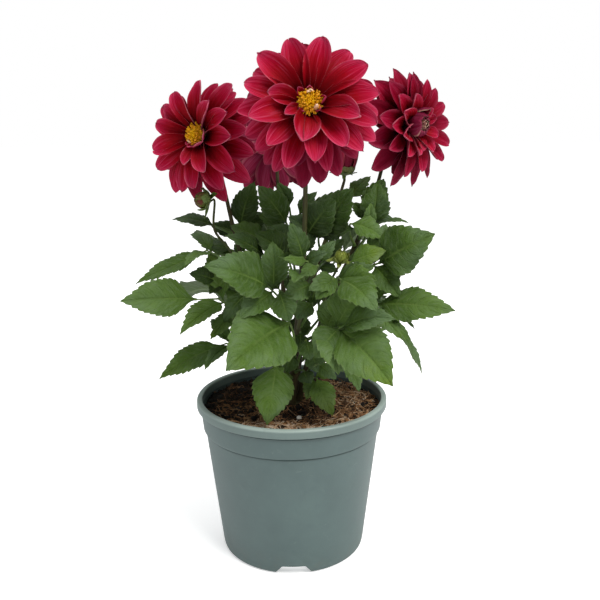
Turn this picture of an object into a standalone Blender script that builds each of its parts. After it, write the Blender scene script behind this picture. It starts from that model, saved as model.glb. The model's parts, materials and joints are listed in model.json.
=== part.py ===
"""A potted dahlia: a nursery pot, its soil, a root crown, stems, compound leaves, buds and blooms.

Every size and place below is in millimetres. The origin is the centre of the pot's foot, +Z is up
and -Y is the front of the plant. Sheets such as leaves and petals are thickened by a Solidify modifier.
"""

import math

import bmesh
import bpy
from mathutils import Vector

MM = 0.001
GAP = 0.3
UP = Vector((0, 0, 1))

# Pot
POT_SIDES = 48
POT_HEIGHT = 124
RIM_RADIUS = 75
LIP_HEIGHT = 7
LIP_OVERHANG = 2.8
LIP_ROUND = 1.0
BAND_DEPTH = 24
BAND_STEP = 1.5
BODY_TOP_RADIUS = 68.8
FOOT_RADIUS = 57
FOOT_ROUND = 2
FOOT_RING_WIDTH = 3
FOOT_INNER_RADIUS = FOOT_RADIUS - FOOT_ROUND - FOOT_RING_WIDTH
WALL = 1.6
FLOOR_LEVEL = 8
LIP_LOW = POT_HEIGHT - LIP_HEIGHT
BAND_LOW = POT_HEIGHT - BAND_DEPTH
BAND_RADIUS = BODY_TOP_RADIUS + BAND_STEP
NECK_RADIUS = RIM_RADIUS - LIP_OVERHANG
NOTCH_COUNT = 4
NOTCH_HEIGHT = 6.5
NOTCH_FOOT_WIDTH = 28
NOTCH_TOP_WIDTH = 17.5
DRAIN_COUNT = 6
DRAIN_RING_RADIUS = 30
DRAIN_RADIUS = 4
DRAIN_SIDES = 10

# Soil and root crown
SOIL_EDGE_LEVEL = 112
SOIL_MOUND = 3
SOIL_MOUND_RADIUS = 20
SOIL_SHOULDER_RADIUS = 45
CROWN_CENTRE = Vector((0, -4, 0))
CROWN_TIP = 78
CROWN_SWELL = 98
CROWN_COLLAR = 110
CROWN_TOP = 120
CROWN_TIP_RADIUS = 3
CROWN_SWELL_RADIUS = 7
CROWN_COLLAR_RADIUS = 9.5
CROWN_TOP_RADIUS = 8.8
CROWN_SIDES = 10

# Leaves. Each row of a leaflet is a share of its length and of its width
LEAF_THICKNESS = 0.9
PETIOLE_WIDTH = 2.2
LEAFLET_ROWS = ((0.16, 0.52), (0.42, 1.0), (0.72, 0.66))
LEAFLET_FOLD = 0.16
LEAFLET_ARCH = 0.20
LEAFLET_DROOP = 0.12
SIDE_ANGLE = math.radians(62)
SIDE_LENGTH = 0.64
LOWER_SIDE_LENGTH = 0.51
FIRST_PAIR_BACK = 3.4
PAIR_SPACING = 17
LOWEST_PAIR_SHARE = 0.15
RACHIS_SHARES = (0, 0.35, 0.7)
RACHIS_CLEARANCE = 0.12

# Blooms, measured along the bloom's axis from the base of its disc. Each row of a petal is as a leaflet's
PETAL_THICKNESS = 0.8
PETAL_ROWS = ((0.12, 0.22), (0.32, 0.68), (0.76, 1.0))
PETAL_CUP = 0.12
CORE_RADIUS = 4.0
DISC_RADIUS = 8.1
DISC_HEIGHT = 6.0
RING_RADIUS = 8.0
INNER_RING_LEVEL = -2.4
OUTER_RING_LEVEL = -4.8
CALYX_TOP = -5.6
CALYX_BOTTOM = -15.0
CALYX_RADIUS = 7.0
CALYX_NECK_RADIUS = 2.0
CLOSED_BLOOMS = ("right",)
HEAD_SIDES = 12
BUD_SIDES = 10
STEM_SIDES = 6
STEM_STEPS = 2
NECK_LENGTH = 6

# Each stem: its parent and the height where it leaves it, or None from the root crown's top; its route; its
# radius at the start and at the end
STEMS = {
    "stem_centre": (
        None, ((0, -9.5, 120), (4, -12, 170), (9, -14, 220), (11, -16, 262), (12, -21, 305)), 3.0, 1.9,
    ),
    "stem_left": (
        None, ((-5.2, -5.7, 120), (-14, -3, 160), (-28, 3, 205), (-41, 10, 245), (-49, 16, 280)), 2.7, 1.8,
    ),
    "stem_right": (
        None, ((5.2, -5.7, 120), (16, -2, 160), (34, 6, 205), (51, 13, 240), (64, 18, 272)), 2.7, 1.8,
    ),
    "stem_rear": (
        None, ((-3.2, 0.5, 120), (-5, 6, 170), (-6, 12, 220), (-7, 17, 262), (-9, 21, 290)), 2.6, 1.7,
    ),
    "stem_opening_bud": (
        None, ((3.2, 0.5, 120), (9, 7, 170), (20, 14, 220), (34, 20, 262)), 2.4, 1.5,
    ),
    "stem_left_bud": (("stem_left", 228), ((-48, 3, 242), (-57, 0, 256)), 1.4, 1.2),
    "stem_front_bud": (("stem_right", 186), ((26, -14, 205), (30, -26, 221)), 1.4, 1.1),
    "stem_front_shoot": (("stem_centre", 182), ((9, -28, 208), (13, -40, 228), (15, -45, 236)), 1.7, 1.3),
}

# Each bloom: its stem, the centre of its disc, the way it faces, and its scale
BLOOMS = {
    "centre": ("stem_centre", (14, -45, 346), (0.02, -0.93, 0.34), 1.0),
    "left": ("stem_left", (-69, 8, 325), (-0.52, -0.83, 0.12), 0.93),
    "right": ("stem_right", (93, 15, 331), (0.62, -0.78, 0.05), 0.89),
    "rear": ("stem_rear", (-14, 50, 318), (-0.22, 0.96, 0.04), 0.88),
}

# Petals take turns between two rows. Each row: length, width, rise at the base and at the tip in degrees
OUTER_COUNT = 16
OUTER_ROWS = ((40, 23, 2, -14), (39, 22, 22, 4))
INNER_COUNT = 14
INNER_ROWS = ((30, 17, 44, 22), (15, 9, 66, 50))

# Each bud: its stem, its centre, the way it faces, and its radius. The opening one has a petal height too
BUDS = {
    "bud_left": ("stem_left_bud", (-65, 0, 278), (-0.25, -0.1, 0.96), 6.0),
    "bud_front": ("stem_front_bud", (36, -36, 240), (0.2, -0.45, 0.87), 4.5),
}
OPENING_BUD = ("stem_opening_bud", (43, 25, 300), (0.05, 0.04, 1.0), 9.0, 26)

# Each leaf: its stem and the height where it leaves it, the joint where its end leaflet starts, that
# leaflet's tip, the pairs of side leaflets, the leaflets' width to their length, and the lean to the front
LEAVES = {
    "leaf_01": ("stem_left", 178, (-54, -18, 206), (-126, -22, 206), 2, 0.42, 35),
    "leaf_02": ("stem_left", 222, (-63, -2, 240), (-119, -5, 218), 1, 0.34, 10),
    "leaf_03": ("stem_left", 252, (-57, 8, 257), (-92, 20, 262), 0, 0.40, 30),
    "leaf_04": ("stem_centre", 192, (-15, -45, 220), (-57, -70, 242), 1, 0.62, 55),
    "leaf_05": ("stem_centre", 160, (-1, -45, 194), (-44, -84, 172), 0, 0.80, 60),
    "leaf_06": ("stem_centre", 142, (-11, -32, 160), (-18, -60, 122), 1, 0.64, 50),
    "leaf_07": ("stem_left", 150, (-50, -10, 169), (-101, -25, 148), 2, 0.34, 20),
    "leaf_08": ("stem_right", 136, (19, -28, 146), (30, -48, 124), 1, 0.60, 50),
    "leaf_09": ("stem_right", 164, (33, -52, 192), (68, -86, 160), 2, 0.78, 60),
    "leaf_10": ("stem_right", 214, (35, -48, 226), (58, -78, 211), 1, 0.66, 50),
    "leaf_11": ("stem_right", 222, (66, -14, 231), (103, -35, 256), 1, 0.66, 65),
    "leaf_12": ("stem_right", 176, (64, -20, 201), (118, -45, 202), 1, 0.46, 40),
    "leaf_13": ("stem_opening_bud", 166, (74, 8, 188), (108, 14, 134), 1, 0.30, 0),
    "leaf_14": ("stem_right", 246, (62, 10, 264), (72, 12, 292), 1, 0.70, 40),
    "leaf_15": ("stem_opening_bud", 236, (22, -2, 252), (47, -9, 286), 1, 0.60, 50),
    "leaf_16": ("stem_rear", 240, (-2, 8, 258), (-24, 8, 288), 1, 0.60, 60),
    "leaf_17": ("stem_left", 224, (-39, 24, 253), (-27, 28, 290), 1, 0.56, 60),
    "leaf_18": ("stem_front_shoot", 226, (9, -53, 241), (0, -57, 268), 1, 0.55, 50),
    "leaf_19": ("stem_front_shoot", 219, (9, -52, 229), (2, -80, 231), 0, 0.50, 40),
    "leaf_20": ("stem_left", 200, (-18, -22, 238), (-46, -36, 256), 2, 0.50, 40),
    "leaf_21": ("stem_right", 148, (40, -20, 160), (52, -32, 136), 1, 0.50, 20),
    "leaf_22": ("stem_opening_bud", 262, (47, 26, 275), (64, 30, 292), 0, 0.40, 20),
    "leaf_23": ("stem_rear", 150, (-10, 40, 166), (-24, 88, 148), 2, 0.62, -40),
    "leaf_24": ("stem_rear", 188, (8, 44, 210), (20, 89, 202), 2, 0.60, -40),
    "leaf_25": ("stem_left", 166, (-54, 30, 200), (-98, 72, 184), 2, 0.56, -30),
    "leaf_26": ("stem_opening_bud", 150, (52, 44, 180), (98, 80, 168), 2, 0.58, -30),
    "leaf_27": ("stem_rear", 224, (-16, 44, 246), (-38, 84, 252), 2, 0.60, -45),
    "leaf_28": ("stem_opening_bud", 206, (46, 48, 232), (78, 84, 236), 1, 0.56, -40),
    "leaf_29": ("stem_left", 214, (-52, 40, 234), (-84, 66, 244), 2, 0.56, -30),
}

# Each material: its colour and its roughness
COLOURS = {
    "pot": ((0.19, 0.26, 0.25), 0.45),
    "soil": ((0.09, 0.045, 0.025), 0.95),
    "crown": ((0.08, 0.06, 0.03), 0.85),
    "stem": ((0.11, 0.10, 0.05), 0.5),
    "leaf": ((0.06, 0.14, 0.03), 0.5),
    "petal": ((0.42, 0.01, 0.035), 0.45),
    "disc": ((0.75, 0.40, 0.02), 0.7),
    "bud": ((0.22, 0.32, 0.06), 0.5),
}


def clear_scene():
    for obj in list(bpy.data.objects):
        bpy.data.objects.remove(obj)


def make_materials():
    for name, (colour, roughness) in COLOURS.items():
        material = bpy.data.materials.new(name)
        material.use_nodes = True
        shader = material.node_tree.nodes["Principled BSDF"]
        shader.inputs["Base Color"].default_value = (*colour, 1)
        shader.inputs["Roughness"].default_value = roughness


def add_object(name, points, faces, material):
    """A new object from points in millimetres, with its face directions made consistent."""
    mesh = bpy.data.meshes.new(name)
    mesh.from_pydata([tuple(Vector(p) * MM) for p in points], [], faces)
    shape = bmesh.new()
    shape.from_mesh(mesh)
    bmesh.ops.recalc_face_normals(shape, faces=shape.faces)
    shape.to_mesh(mesh)
    shape.free()
    mesh.materials.append(bpy.data.materials[material])
    obj = bpy.data.objects.new(name, mesh)
    bpy.context.scene.collection.objects.link(obj)
    return obj


def smooth(obj, angle=35):
    obj.data.shade_smooth()
    obj.data.set_sharp_from_angle(angle=math.radians(angle))
    return obj


def thicken(obj, thickness):
    """Solidify both ways from the sheet, so that the sheet stays the middle of the solid."""
    solid = obj.modifiers.new("thickness", "SOLIDIFY")
    solid.thickness = thickness * MM
    solid.offset = 0
    solid.use_rim = True
    return obj


def cut(obj, cutter):
    boolean = obj.modifiers.new("cut", "BOOLEAN")
    boolean.operation = "DIFFERENCE"
    boolean.solver = "EXACT"
    boolean.object = cutter
    cutter.hide_render = True
    cutter.display_type = "WIRE"


def turned(name, profile, material, sides, centre=Vector((0, 0, 0)), axis=UP):
    """A closed solid turned about axis. The profile runs from the bottom pole to the top pole."""
    across = side_of(axis)
    forward = axis.cross(across)
    points = []
    rings = []
    for radius, level in profile:
        if radius == 0:
            rings.append([len(points)])
            points.append(centre + axis * level)
            continue
        rings.append(list(range(len(points), len(points) + sides)))
        for i in range(sides):
            angle = 2 * math.pi * (i + 0.5) / sides
            out = across * math.cos(angle) + forward * math.sin(angle)
            points.append(centre + axis * level + out * radius)
    faces = []
    for low, high in zip(rings, rings[1:]):
        for i in range(sides):
            j = (i + 1) % sides
            quad = [low[i % len(low)], low[j % len(low)], high[j % len(high)], high[i % len(high)]]
            faces.append(tuple(dict.fromkeys(quad)))
    return smooth(add_object(name, points, faces, material))


def side_of(axis):
    """A level direction square to axis, or +X where axis stands upright."""
    across = axis.cross(UP)
    if across.length < 0.05:
        return Vector((1, 0, 0)) - axis * axis.x
    return across.normalized()


def pot_radius(level):
    """The outer radius of the pot's plain body at a level."""
    share = level / (POT_HEIGHT - BAND_DEPTH)
    return FOOT_RADIUS + (BODY_TOP_RADIUS - FOOT_RADIUS) * share


def make_pot():
    """The pot is turned from one outline: up its outside, over the lip and down its inside to the floor."""
    foot_corner = FOOT_ROUND * 0.3
    outer = [
        (FOOT_RADIUS - FOOT_ROUND, 0),
        (FOOT_RADIUS - foot_corner, foot_corner),
        (pot_radius(FOOT_ROUND), FOOT_ROUND),
        (pot_radius(FLOOR_LEVEL), FLOOR_LEVEL),
        (BODY_TOP_RADIUS, BAND_LOW - BAND_STEP),
        (BAND_RADIUS, BAND_LOW),
        (NECK_RADIUS, LIP_LOW),
        (RIM_RADIUS - LIP_ROUND / 2, LIP_LOW + LIP_ROUND / 2),
        (RIM_RADIUS, POT_HEIGHT - LIP_ROUND),
        (RIM_RADIUS - LIP_ROUND, POT_HEIGHT),
    ]
    inner = [
        (NECK_RADIUS - WALL + LIP_ROUND / 2, POT_HEIGHT),
        (NECK_RADIUS - WALL, POT_HEIGHT - LIP_ROUND),
        (NECK_RADIUS - WALL, LIP_LOW),
        (BAND_RADIUS - WALL, BAND_LOW + BAND_STEP),
        (BODY_TOP_RADIUS - WALL, BAND_LOW - BAND_STEP),
        (pot_radius(FLOOR_LEVEL) - WALL, FLOOR_LEVEL),
        (0, FLOOR_LEVEL),
    ]
    underside = [
        (0, FLOOR_LEVEL - WALL),
        (FOOT_INNER_RADIUS, FLOOR_LEVEL - WALL),
        (FOOT_INNER_RADIUS, 0),
    ]
    pot = turned("pot", underside + outer + inner, "pot", POT_SIDES)
    for i in range(NOTCH_COUNT):
        cut(pot, notch_cutter(i))
    for i in range(DRAIN_COUNT):
        cut(pot, drain_cutter(i))


def notch_cutter(index):
    """A trapezium that opens the foot's skirt, so that water drains from under the floor."""
    angle = 2 * math.pi * index / NOTCH_COUNT - math.pi / 2
    out = Vector((math.cos(angle), math.sin(angle), 0))
    across = Vector((-out.y, out.x, 0))
    below = 1
    top = NOTCH_TOP_WIDTH / 2
    foot = top + (NOTCH_FOOT_WIDTH / 2 - top) * (NOTCH_HEIGHT + below) / NOTCH_HEIGHT
    corners = ((-foot, -below), (foot, -below), (top, NOTCH_HEIGHT), (-top, NOTCH_HEIGHT))
    reaches = (FOOT_INNER_RADIUS - 7, FOOT_RADIUS + 6)
    points = [out * reach + across * x + UP * z for reach in reaches for x, z in corners]
    faces = [(0, 1, 2, 3), (4, 5, 6, 7), (0, 1, 5, 4), (1, 2, 6, 5), (2, 3, 7, 6), (3, 0, 4, 7)]
    return add_object(f"notch_cutter_{index}", points, faces, "pot")


def drain_cutter(index):
    angle = 2 * math.pi * (index + 0.5) / DRAIN_COUNT
    centre = Vector((math.cos(angle), math.sin(angle), 0)) * DRAIN_RING_RADIUS
    low = FLOOR_LEVEL - 3 * WALL
    high = FLOOR_LEVEL + 2 * WALL
    profile = [(0, low), (DRAIN_RADIUS, low), (DRAIN_RADIUS, high), (0, high)]
    return turned(f"drain_cutter_{index}", profile, "pot", DRAIN_SIDES, centre)


def crown_profile(spread):
    """The root crown's outline, or that of its socket in the soil, where spread is the clearance."""
    return [
        (0, CROWN_TIP - spread),
        (CROWN_TIP_RADIUS + spread, CROWN_TIP + 1 - spread),
        (CROWN_SWELL_RADIUS + spread, CROWN_SWELL),
        (CROWN_COLLAR_RADIUS + spread, CROWN_COLLAR),
        (CROWN_TOP_RADIUS + spread, CROWN_TOP + spread),
        (0, CROWN_TOP + spread),
    ]


def make_soil():
    """The soil fills the pot to below its rim, with a clearance all round, and holds the root crown."""
    inside = WALL + GAP
    share = (SOIL_EDGE_LEVEL - BAND_LOW - BAND_STEP) / (LIP_LOW - BAND_LOW - BAND_STEP)
    profile = [
        (0, FLOOR_LEVEL + GAP),
        (pot_radius(FLOOR_LEVEL) - inside, FLOOR_LEVEL + GAP),
        (BODY_TOP_RADIUS - inside, BAND_LOW - BAND_STEP),
        (BAND_RADIUS - inside, BAND_LOW + BAND_STEP),
        (BAND_RADIUS - inside + (NECK_RADIUS - BAND_RADIUS) * share, SOIL_EDGE_LEVEL),
        (SOIL_SHOULDER_RADIUS, SOIL_EDGE_LEVEL + SOIL_MOUND * 0.6),
        (SOIL_MOUND_RADIUS, SOIL_EDGE_LEVEL + SOIL_MOUND),
        (0, SOIL_EDGE_LEVEL + SOIL_MOUND),
    ]
    soil = turned("soil", profile, "soil", POT_SIDES)
    cut(soil, turned("crown_socket", crown_profile(GAP), "crown", CROWN_SIDES, CROWN_CENTRE))
    turned("root_crown", crown_profile(0), "crown", CROWN_SIDES, CROWN_CENTRE)


def smooth_route(points, steps):
    """Points along a Catmull-Rom curve through the given points."""
    ends = [points[0] * 2 - points[1], *points, points[-1] * 2 - points[-2]]
    route = []
    for a, b, c, d in zip(ends, ends[1:], ends[2:], ends[3:]):
        for i in range(steps):
            t = i / steps
            square = (a * 2 - b * 5 + c * 4 - d) * t**2
            cube = (b * 3 - a - c * 3 + d) * t**3
            route.append((b * 2 + (c - a) * t + square + cube) / 2)
    return [*route, points[-1]]


def make_stem(name, route, start_radius, end_radius, start_way, end_way):
    """A tapered rod along a route. Its flat ends are square to the ways in which it starts and ends."""
    middle_ways = [(b - a).normalized() for a, b in zip(route, route[2:])]
    ways = [start_way, *middle_ways, end_way]
    across = side_of(start_way)
    points = []
    for i, (place, way) in enumerate(zip(route, ways)):
        across = (across - way * across.dot(way)).normalized()
        forward = way.cross(across)
        radius = start_radius + (end_radius - start_radius) * i / (len(route) - 1)
        for k in range(STEM_SIDES):
            angle = 2 * math.pi * k / STEM_SIDES
            points.append(place + (across * math.cos(angle) + forward * math.sin(angle)) * radius)
    faces = [tuple(range(STEM_SIDES)), tuple(range(len(points) - STEM_SIDES, len(points)))]
    for low in range(0, len(points) - STEM_SIDES, STEM_SIDES):
        for k in range(STEM_SIDES):
            j = (k + 1) % STEM_SIDES
            faces.append((low + k, low + j, low + STEM_SIDES + j, low + STEM_SIDES + k))
    smooth(add_object(name, points, faces, "stem"), 60)


def stem_ends():
    """Where each stem stops to meet the bloom or bud that it carries, and the way it arrives there."""
    ends = {}
    for stem, centre, facing, scale in BLOOMS.values():
        facing = Vector(facing).normalized()
        ends[stem] = (Vector(centre) + facing * (CALYX_BOTTOM * scale - GAP), facing)
    for stem, centre, facing, radius in (*BUDS.values(), OPENING_BUD[:4]):
        facing = Vector(facing).normalized()
        ends[stem] = (Vector(centre) - facing * (radius + GAP), facing)
    return ends


def routes_of_stems():
    """The centreline, radii and end directions of every stem. A side stem starts at its parent's surface."""
    routes = {}
    ends = stem_ends()
    for name, (start, places, start_radius, end_radius) in STEMS.items():
        points = [Vector(p) for p in places]
        if start:
            base, start_way = surface_start(routes[start[0]], start[1], points[0], start_radius)
            points.insert(0, base)
        else:
            start_way = UP
            points[0] += UP * GAP
        if name in ends:
            end, end_way = ends[name]
            points += [end - end_way * NECK_LENGTH, end]
        else:
            end_way = (points[-1] - points[-2]).normalized()
        routes[name] = (smooth_route(points, STEM_STEPS), start_radius, end_radius, start_way, end_way)
    return routes


def surface_start(stem, height, towards, half):
    """Where something that heads towards a point leaves the surface of a stem, and the way it leaves."""
    route, start_radius, end_radius = stem[:3]
    for i in range(1, len(route)):
        if route[i].z >= height:
            break
    share = (height - route[i - 1].z) / (route[i].z - route[i - 1].z)
    centre = route[i - 1].lerp(route[i], share)
    radius = start_radius + (end_radius - start_radius) * (i - 1 + share) / (len(route) - 1)
    along = (route[i] - route[i - 1]).normalized()
    leaving = (towards - centre).normalized()
    out = (leaving - along * leaving.dot(along)).normalized()
    way = (out + leaving).normalized()
    return centre + out * (radius + GAP + half * abs(way.dot(along))), way


class Sheet:
    """Points and faces of one connected sheet that is one face thick."""

    def __init__(self):
        self.points = []
        self.faces = []

    def add(self, point):
        self.points.append(point)
        return len(self.points) - 1

    def strip_edge(self, edge, points):
        """A new edge, joined by a quad to the edge before it, if there is one."""
        new = (self.add(points[0]), self.add(points[1]))
        if edge:
            self.faces.append((edge[0], edge[1], new[1], new[0]))
        return new

    def blade(self, edge, rows, tip):
        """A leaf or petal blade that grows from an existing edge. Each row is left, middle and right."""
        before = None
        for row in rows:
            new = [self.add(p) for p in row]
            if before is None:
                self.faces += [(edge[0], new[1], new[0]), (edge[1], new[2], new[1])]
                self.faces.append((edge[0], edge[1], new[1]))
            else:
                self.faces += [(before[0], before[1], new[1], new[0]), (before[1], before[2], new[2], new[1])]
            before = new
        end = self.add(tip)
        self.faces += [(before[0], before[1], end), (before[1], before[2], end)]


def bezier(a, b, c, t):
    return a * (1 - t) ** 2 + b * (2 * t * (1 - t)) + c * t**2


def leaflet(sheet, edge, base, tip, width, face):
    """One leaflet from an edge of the rachis. It arches over and folds up a little along its midrib."""
    axis = (tip - base).normalized()
    normal = (face - axis * face.dot(axis)).normalized()
    crest = base.lerp(tip, 0.5) + normal * (LEAFLET_ARCH * (tip - base).length)
    side = axis.cross(normal)
    if (sheet.points[edge[1]] - sheet.points[edge[0]]).dot(side) < 0:
        edge = (edge[1], edge[0])
    rows = []
    for share, swell in LEAFLET_ROWS:
        middle = bezier(base, crest, tip, share)
        reach = side * (swell * width / 2)
        lift = normal * (LEAFLET_FOLD * swell * width / 2)
        rows.append((middle - reach + lift, middle, middle + reach + lift))
    sheet.blade(edge, rows, tip)


def rachis_shares(pairs, span):
    """The shares of a petiole's length where its strip has an edge, and those that carry a pair."""
    backs = [FIRST_PAIR_BACK + pair * PAIR_SPACING for pair in range(pairs)]
    carriers = [max(LOWEST_PAIR_SHARE, 1 - back / span) for back in backs]
    plain = [s for s in RACHIS_SHARES if all(abs(s - c) > RACHIS_CLEARANCE for c in carriers)]
    starts = [c - PETIOLE_WIDTH / span for c in carriers]
    return sorted([*plain, *starts, *carriers, 1.0]), carriers


def make_leaf(name, stems, stem, height, joint, tip, pairs, ratio, lean):
    """A compound leaf: a petiole that carries side leaflets in pairs and one leaflet at its end."""
    joint = Vector(joint)
    tip = Vector(tip)
    face = Vector((0, -math.sin(math.radians(lean)), math.cos(math.radians(lean))))
    start, leaving = surface_start(stems[stem], height, joint, PETIOLE_WIDTH * 0.6)
    span = (joint - start).length
    length = (tip - joint).length
    level = start.lerp(joint, 0.5)
    from_start = start + leaving * (span / 2)
    from_joint = joint - (tip - joint) * (span / 2 / length)
    bend = level * 0.5 + from_start * 0.25 + from_joint * 0.25
    shares, carriers = rachis_shares(pairs, span)
    sheet = Sheet()
    stations = []
    for share in shares:
        middle = bezier(start, bend, joint, share)
        ahead = ((bend - start) * (1 - share) + (joint - bend) * share).normalized()
        flat = ahead.cross(UP).normalized()
        facing = ahead.cross(face).normalized()
        side = flat.lerp(facing, share).normalized() * (PETIOLE_WIDTH / 2)
        before = stations[-1][0] if stations else None
        edge = sheet.strip_edge(before, (middle - side, middle + side))
        stations.append((edge, ahead))
    leaflet(sheet, edge, joint, tip, length * ratio, face)
    for rank, carrier in enumerate(carriers):
        index = shares.index(carrier)
        reach = length * (LOWER_SIDE_LENGTH if rank else SIDE_LENGTH)
        low, (high, ahead) = stations[index - 1][0], stations[index]
        side_pair(sheet, low, high, ahead, reach, ratio, face)
    thicken(smooth(add_object(name, sheet.points, sheet.faces, "leaf")), LEAF_THICKNESS)


def side_pair(sheet, low, high, ahead, reach, ratio, face):
    """A pair of side leaflets that grow from both long edges of one quad of the rachis."""
    normal = (face - ahead * face.dot(ahead)).normalized()
    side = ahead.cross(normal)
    for k, hand in enumerate((-1, 1)):
        away = ahead * math.cos(SIDE_ANGLE) + side * (hand * math.sin(SIDE_ANGLE)) - normal * LEAFLET_DROOP
        base = (sheet.points[low[k]] + sheet.points[high[k]]) / 2
        leaflet(sheet, (low[k], high[k]), base, base + away * reach, reach * ratio, face)


def petal(sheet, edge, base, out, facing, row, scale):
    """One petal from an edge of its ring. Its rise changes evenly from base to tip."""
    length, width, rise, end_rise = row
    place = base
    side = facing.cross(out)
    rows = []
    before = 0
    for share, swell in (*PETAL_ROWS, (1.0, 0)):
        angle = math.radians(rise + (end_rise - rise) * (share + before) / 2)
        ahead = out * math.cos(angle) + facing * math.sin(angle)
        place = place + ahead * ((share - before) * length * scale)
        normal = facing * math.cos(angle) - out * math.sin(angle)
        half = swell * width * scale / 2
        lift = normal * (half * PETAL_CUP)
        rows.append((place - side * half + lift, place, place + side * half + lift))
        before = share
    sheet.blade(edge, rows[:-1], place)


def make_petals(name, centre, facing, count, rows, level, scale):
    """A ring that carries two rows of petals, one between the other."""
    across = side_of(facing)
    upward = across.cross(facing)

    def outward(i):
        angle = 2 * math.pi * i / count
        return across * math.cos(angle) + upward * math.sin(angle)

    sheet = Sheet()
    rings = []
    middle = centre + facing * (level * scale)
    for radius in (CORE_RADIUS * scale / math.cos(math.pi / count) + GAP, RING_RADIUS * scale):
        rings.append([sheet.add(middle + outward(i) * radius) for i in range(count)])
    inner, outer = rings
    for i in range(count):
        j = (i + 1) % count
        sheet.faces.append((inner[i], inner[j], outer[j], outer[i]))
        base = (sheet.points[outer[i]] + sheet.points[outer[j]]) / 2
        petal(sheet, (outer[i], outer[j]), base, outward(i + 0.5), facing, rows[i % 2], scale)
    thicken(smooth(add_object(name, sheet.points, sheet.faces, "petal")), PETAL_THICKNESS)


def make_head_solid(name, outline, material, sides, centre, facing, scale):
    """A turned piece of a bloom or bud, from an outline in the bloom's own measure."""
    profile = [(radius * scale, level * scale) for radius, level in outline]
    turned(name, profile, material, sides, Vector(centre), facing)


def make_bloom(name, centre, facing, scale):
    """A bloom: calyx, outer and inner petals, and the disc, whose core runs back through both rings."""
    centre = Vector(centre)
    facing = Vector(facing).normalized()
    make_petals(f"outer_petals_{name}", centre, facing, OUTER_COUNT, OUTER_ROWS, OUTER_RING_LEVEL, scale)
    make_petals(f"inner_petals_{name}", centre, facing, INNER_COUNT, INNER_ROWS, INNER_RING_LEVEL, scale)
    core = [(0, CALYX_TOP + GAP / scale), (CORE_RADIUS, CALYX_TOP + GAP / scale), (CORE_RADIUS, -0.6)]
    open_disc = [
        (DISC_RADIUS, 0.4),
        (DISC_RADIUS * 0.8, DISC_HEIGHT * 0.7),
        (DISC_RADIUS * 0.4, DISC_HEIGHT),
        (0, DISC_HEIGHT * 1.05),
    ]
    closed_disc = [
        (DISC_RADIUS, 0.4),
        (DISC_RADIUS * 0.95, DISC_HEIGHT * 1.1),
        (DISC_RADIUS * 0.4, DISC_HEIGHT * 2),
        (0, DISC_HEIGHT * 2.2),
    ]
    if name in CLOSED_BLOOMS:
        make_head_solid(f"core_{name}", core + closed_disc, "petal", HEAD_SIDES, centre, facing, scale)
    else:
        make_head_solid(f"disc_{name}", core + open_disc, "disc", HEAD_SIDES, centre, facing, scale)
    calyx = [
        (0, CALYX_BOTTOM),
        (CALYX_NECK_RADIUS, CALYX_BOTTOM),
        (CALYX_RADIUS * 0.8, CALYX_BOTTOM + 3.5),
        (CALYX_RADIUS, CALYX_BOTTOM + 7),
        (CALYX_RADIUS * 0.8, CALYX_TOP),
        (0, CALYX_TOP),
    ]
    make_head_solid(f"calyx_{name}", calyx, "bud", HEAD_SIDES, centre, facing, scale)


def make_bud(name, centre, facing, radius):
    outline = [(0, -1), (0.4, -0.98), (0.85, -0.5), (1, 0.05), (0.8, 0.6), (0.35, 0.95), (0, 1.02)]
    make_head_solid(name, outline, "bud", BUD_SIDES, centre, Vector(facing).normalized(), radius)


def make_opening_bud():
    """A bud that is half open: a green cup with folded petals standing in it."""
    _, centre, facing, radius, height = OPENING_BUD
    facing = Vector(facing).normalized()
    brim = 0.1
    cup = [(0, -1), (0.2, -1), (0.8, -0.45), (1, brim), (0, brim)]
    make_head_solid("calyx_opening_bud", cup, "bud", BUD_SIDES, centre, facing, radius)
    low = brim + GAP / radius
    high = height / radius
    petals = [(0, low), (0.85, low), (1.05, high * 0.45), (0.75, high * 0.85), (0, high)]
    make_head_solid("petals_opening_bud", petals, "petal", BUD_SIDES, centre, facing, radius)


def main():
    clear_scene()
    make_materials()
    make_pot()
    make_soil()
    stems = routes_of_stems()
    for name, stem in stems.items():
        make_stem(name, *stem)
    for name, (_, centre, facing, scale) in BLOOMS.items():
        make_bloom(name, centre, facing, scale)
    for name, (_, centre, facing, radius) in BUDS.items():
        make_bud(name, centre, facing, radius)
    make_opening_bud()
    for name, leaf in LEAVES.items():
        make_leaf(name, stems, *leaf)


main()
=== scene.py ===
"""The looks of a potted dahlia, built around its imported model.

Lengths are in millimetres and angles in degrees, unless a name or a comment says otherwise. The tables of
stems, blooms, buds and leaves are those of the CAD source, so that each visible piece lies where its solid
lies.
"""

import json
import math
import random

import bpy
import numpy as np
from mathutils import Matrix, Vector, noise

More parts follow.
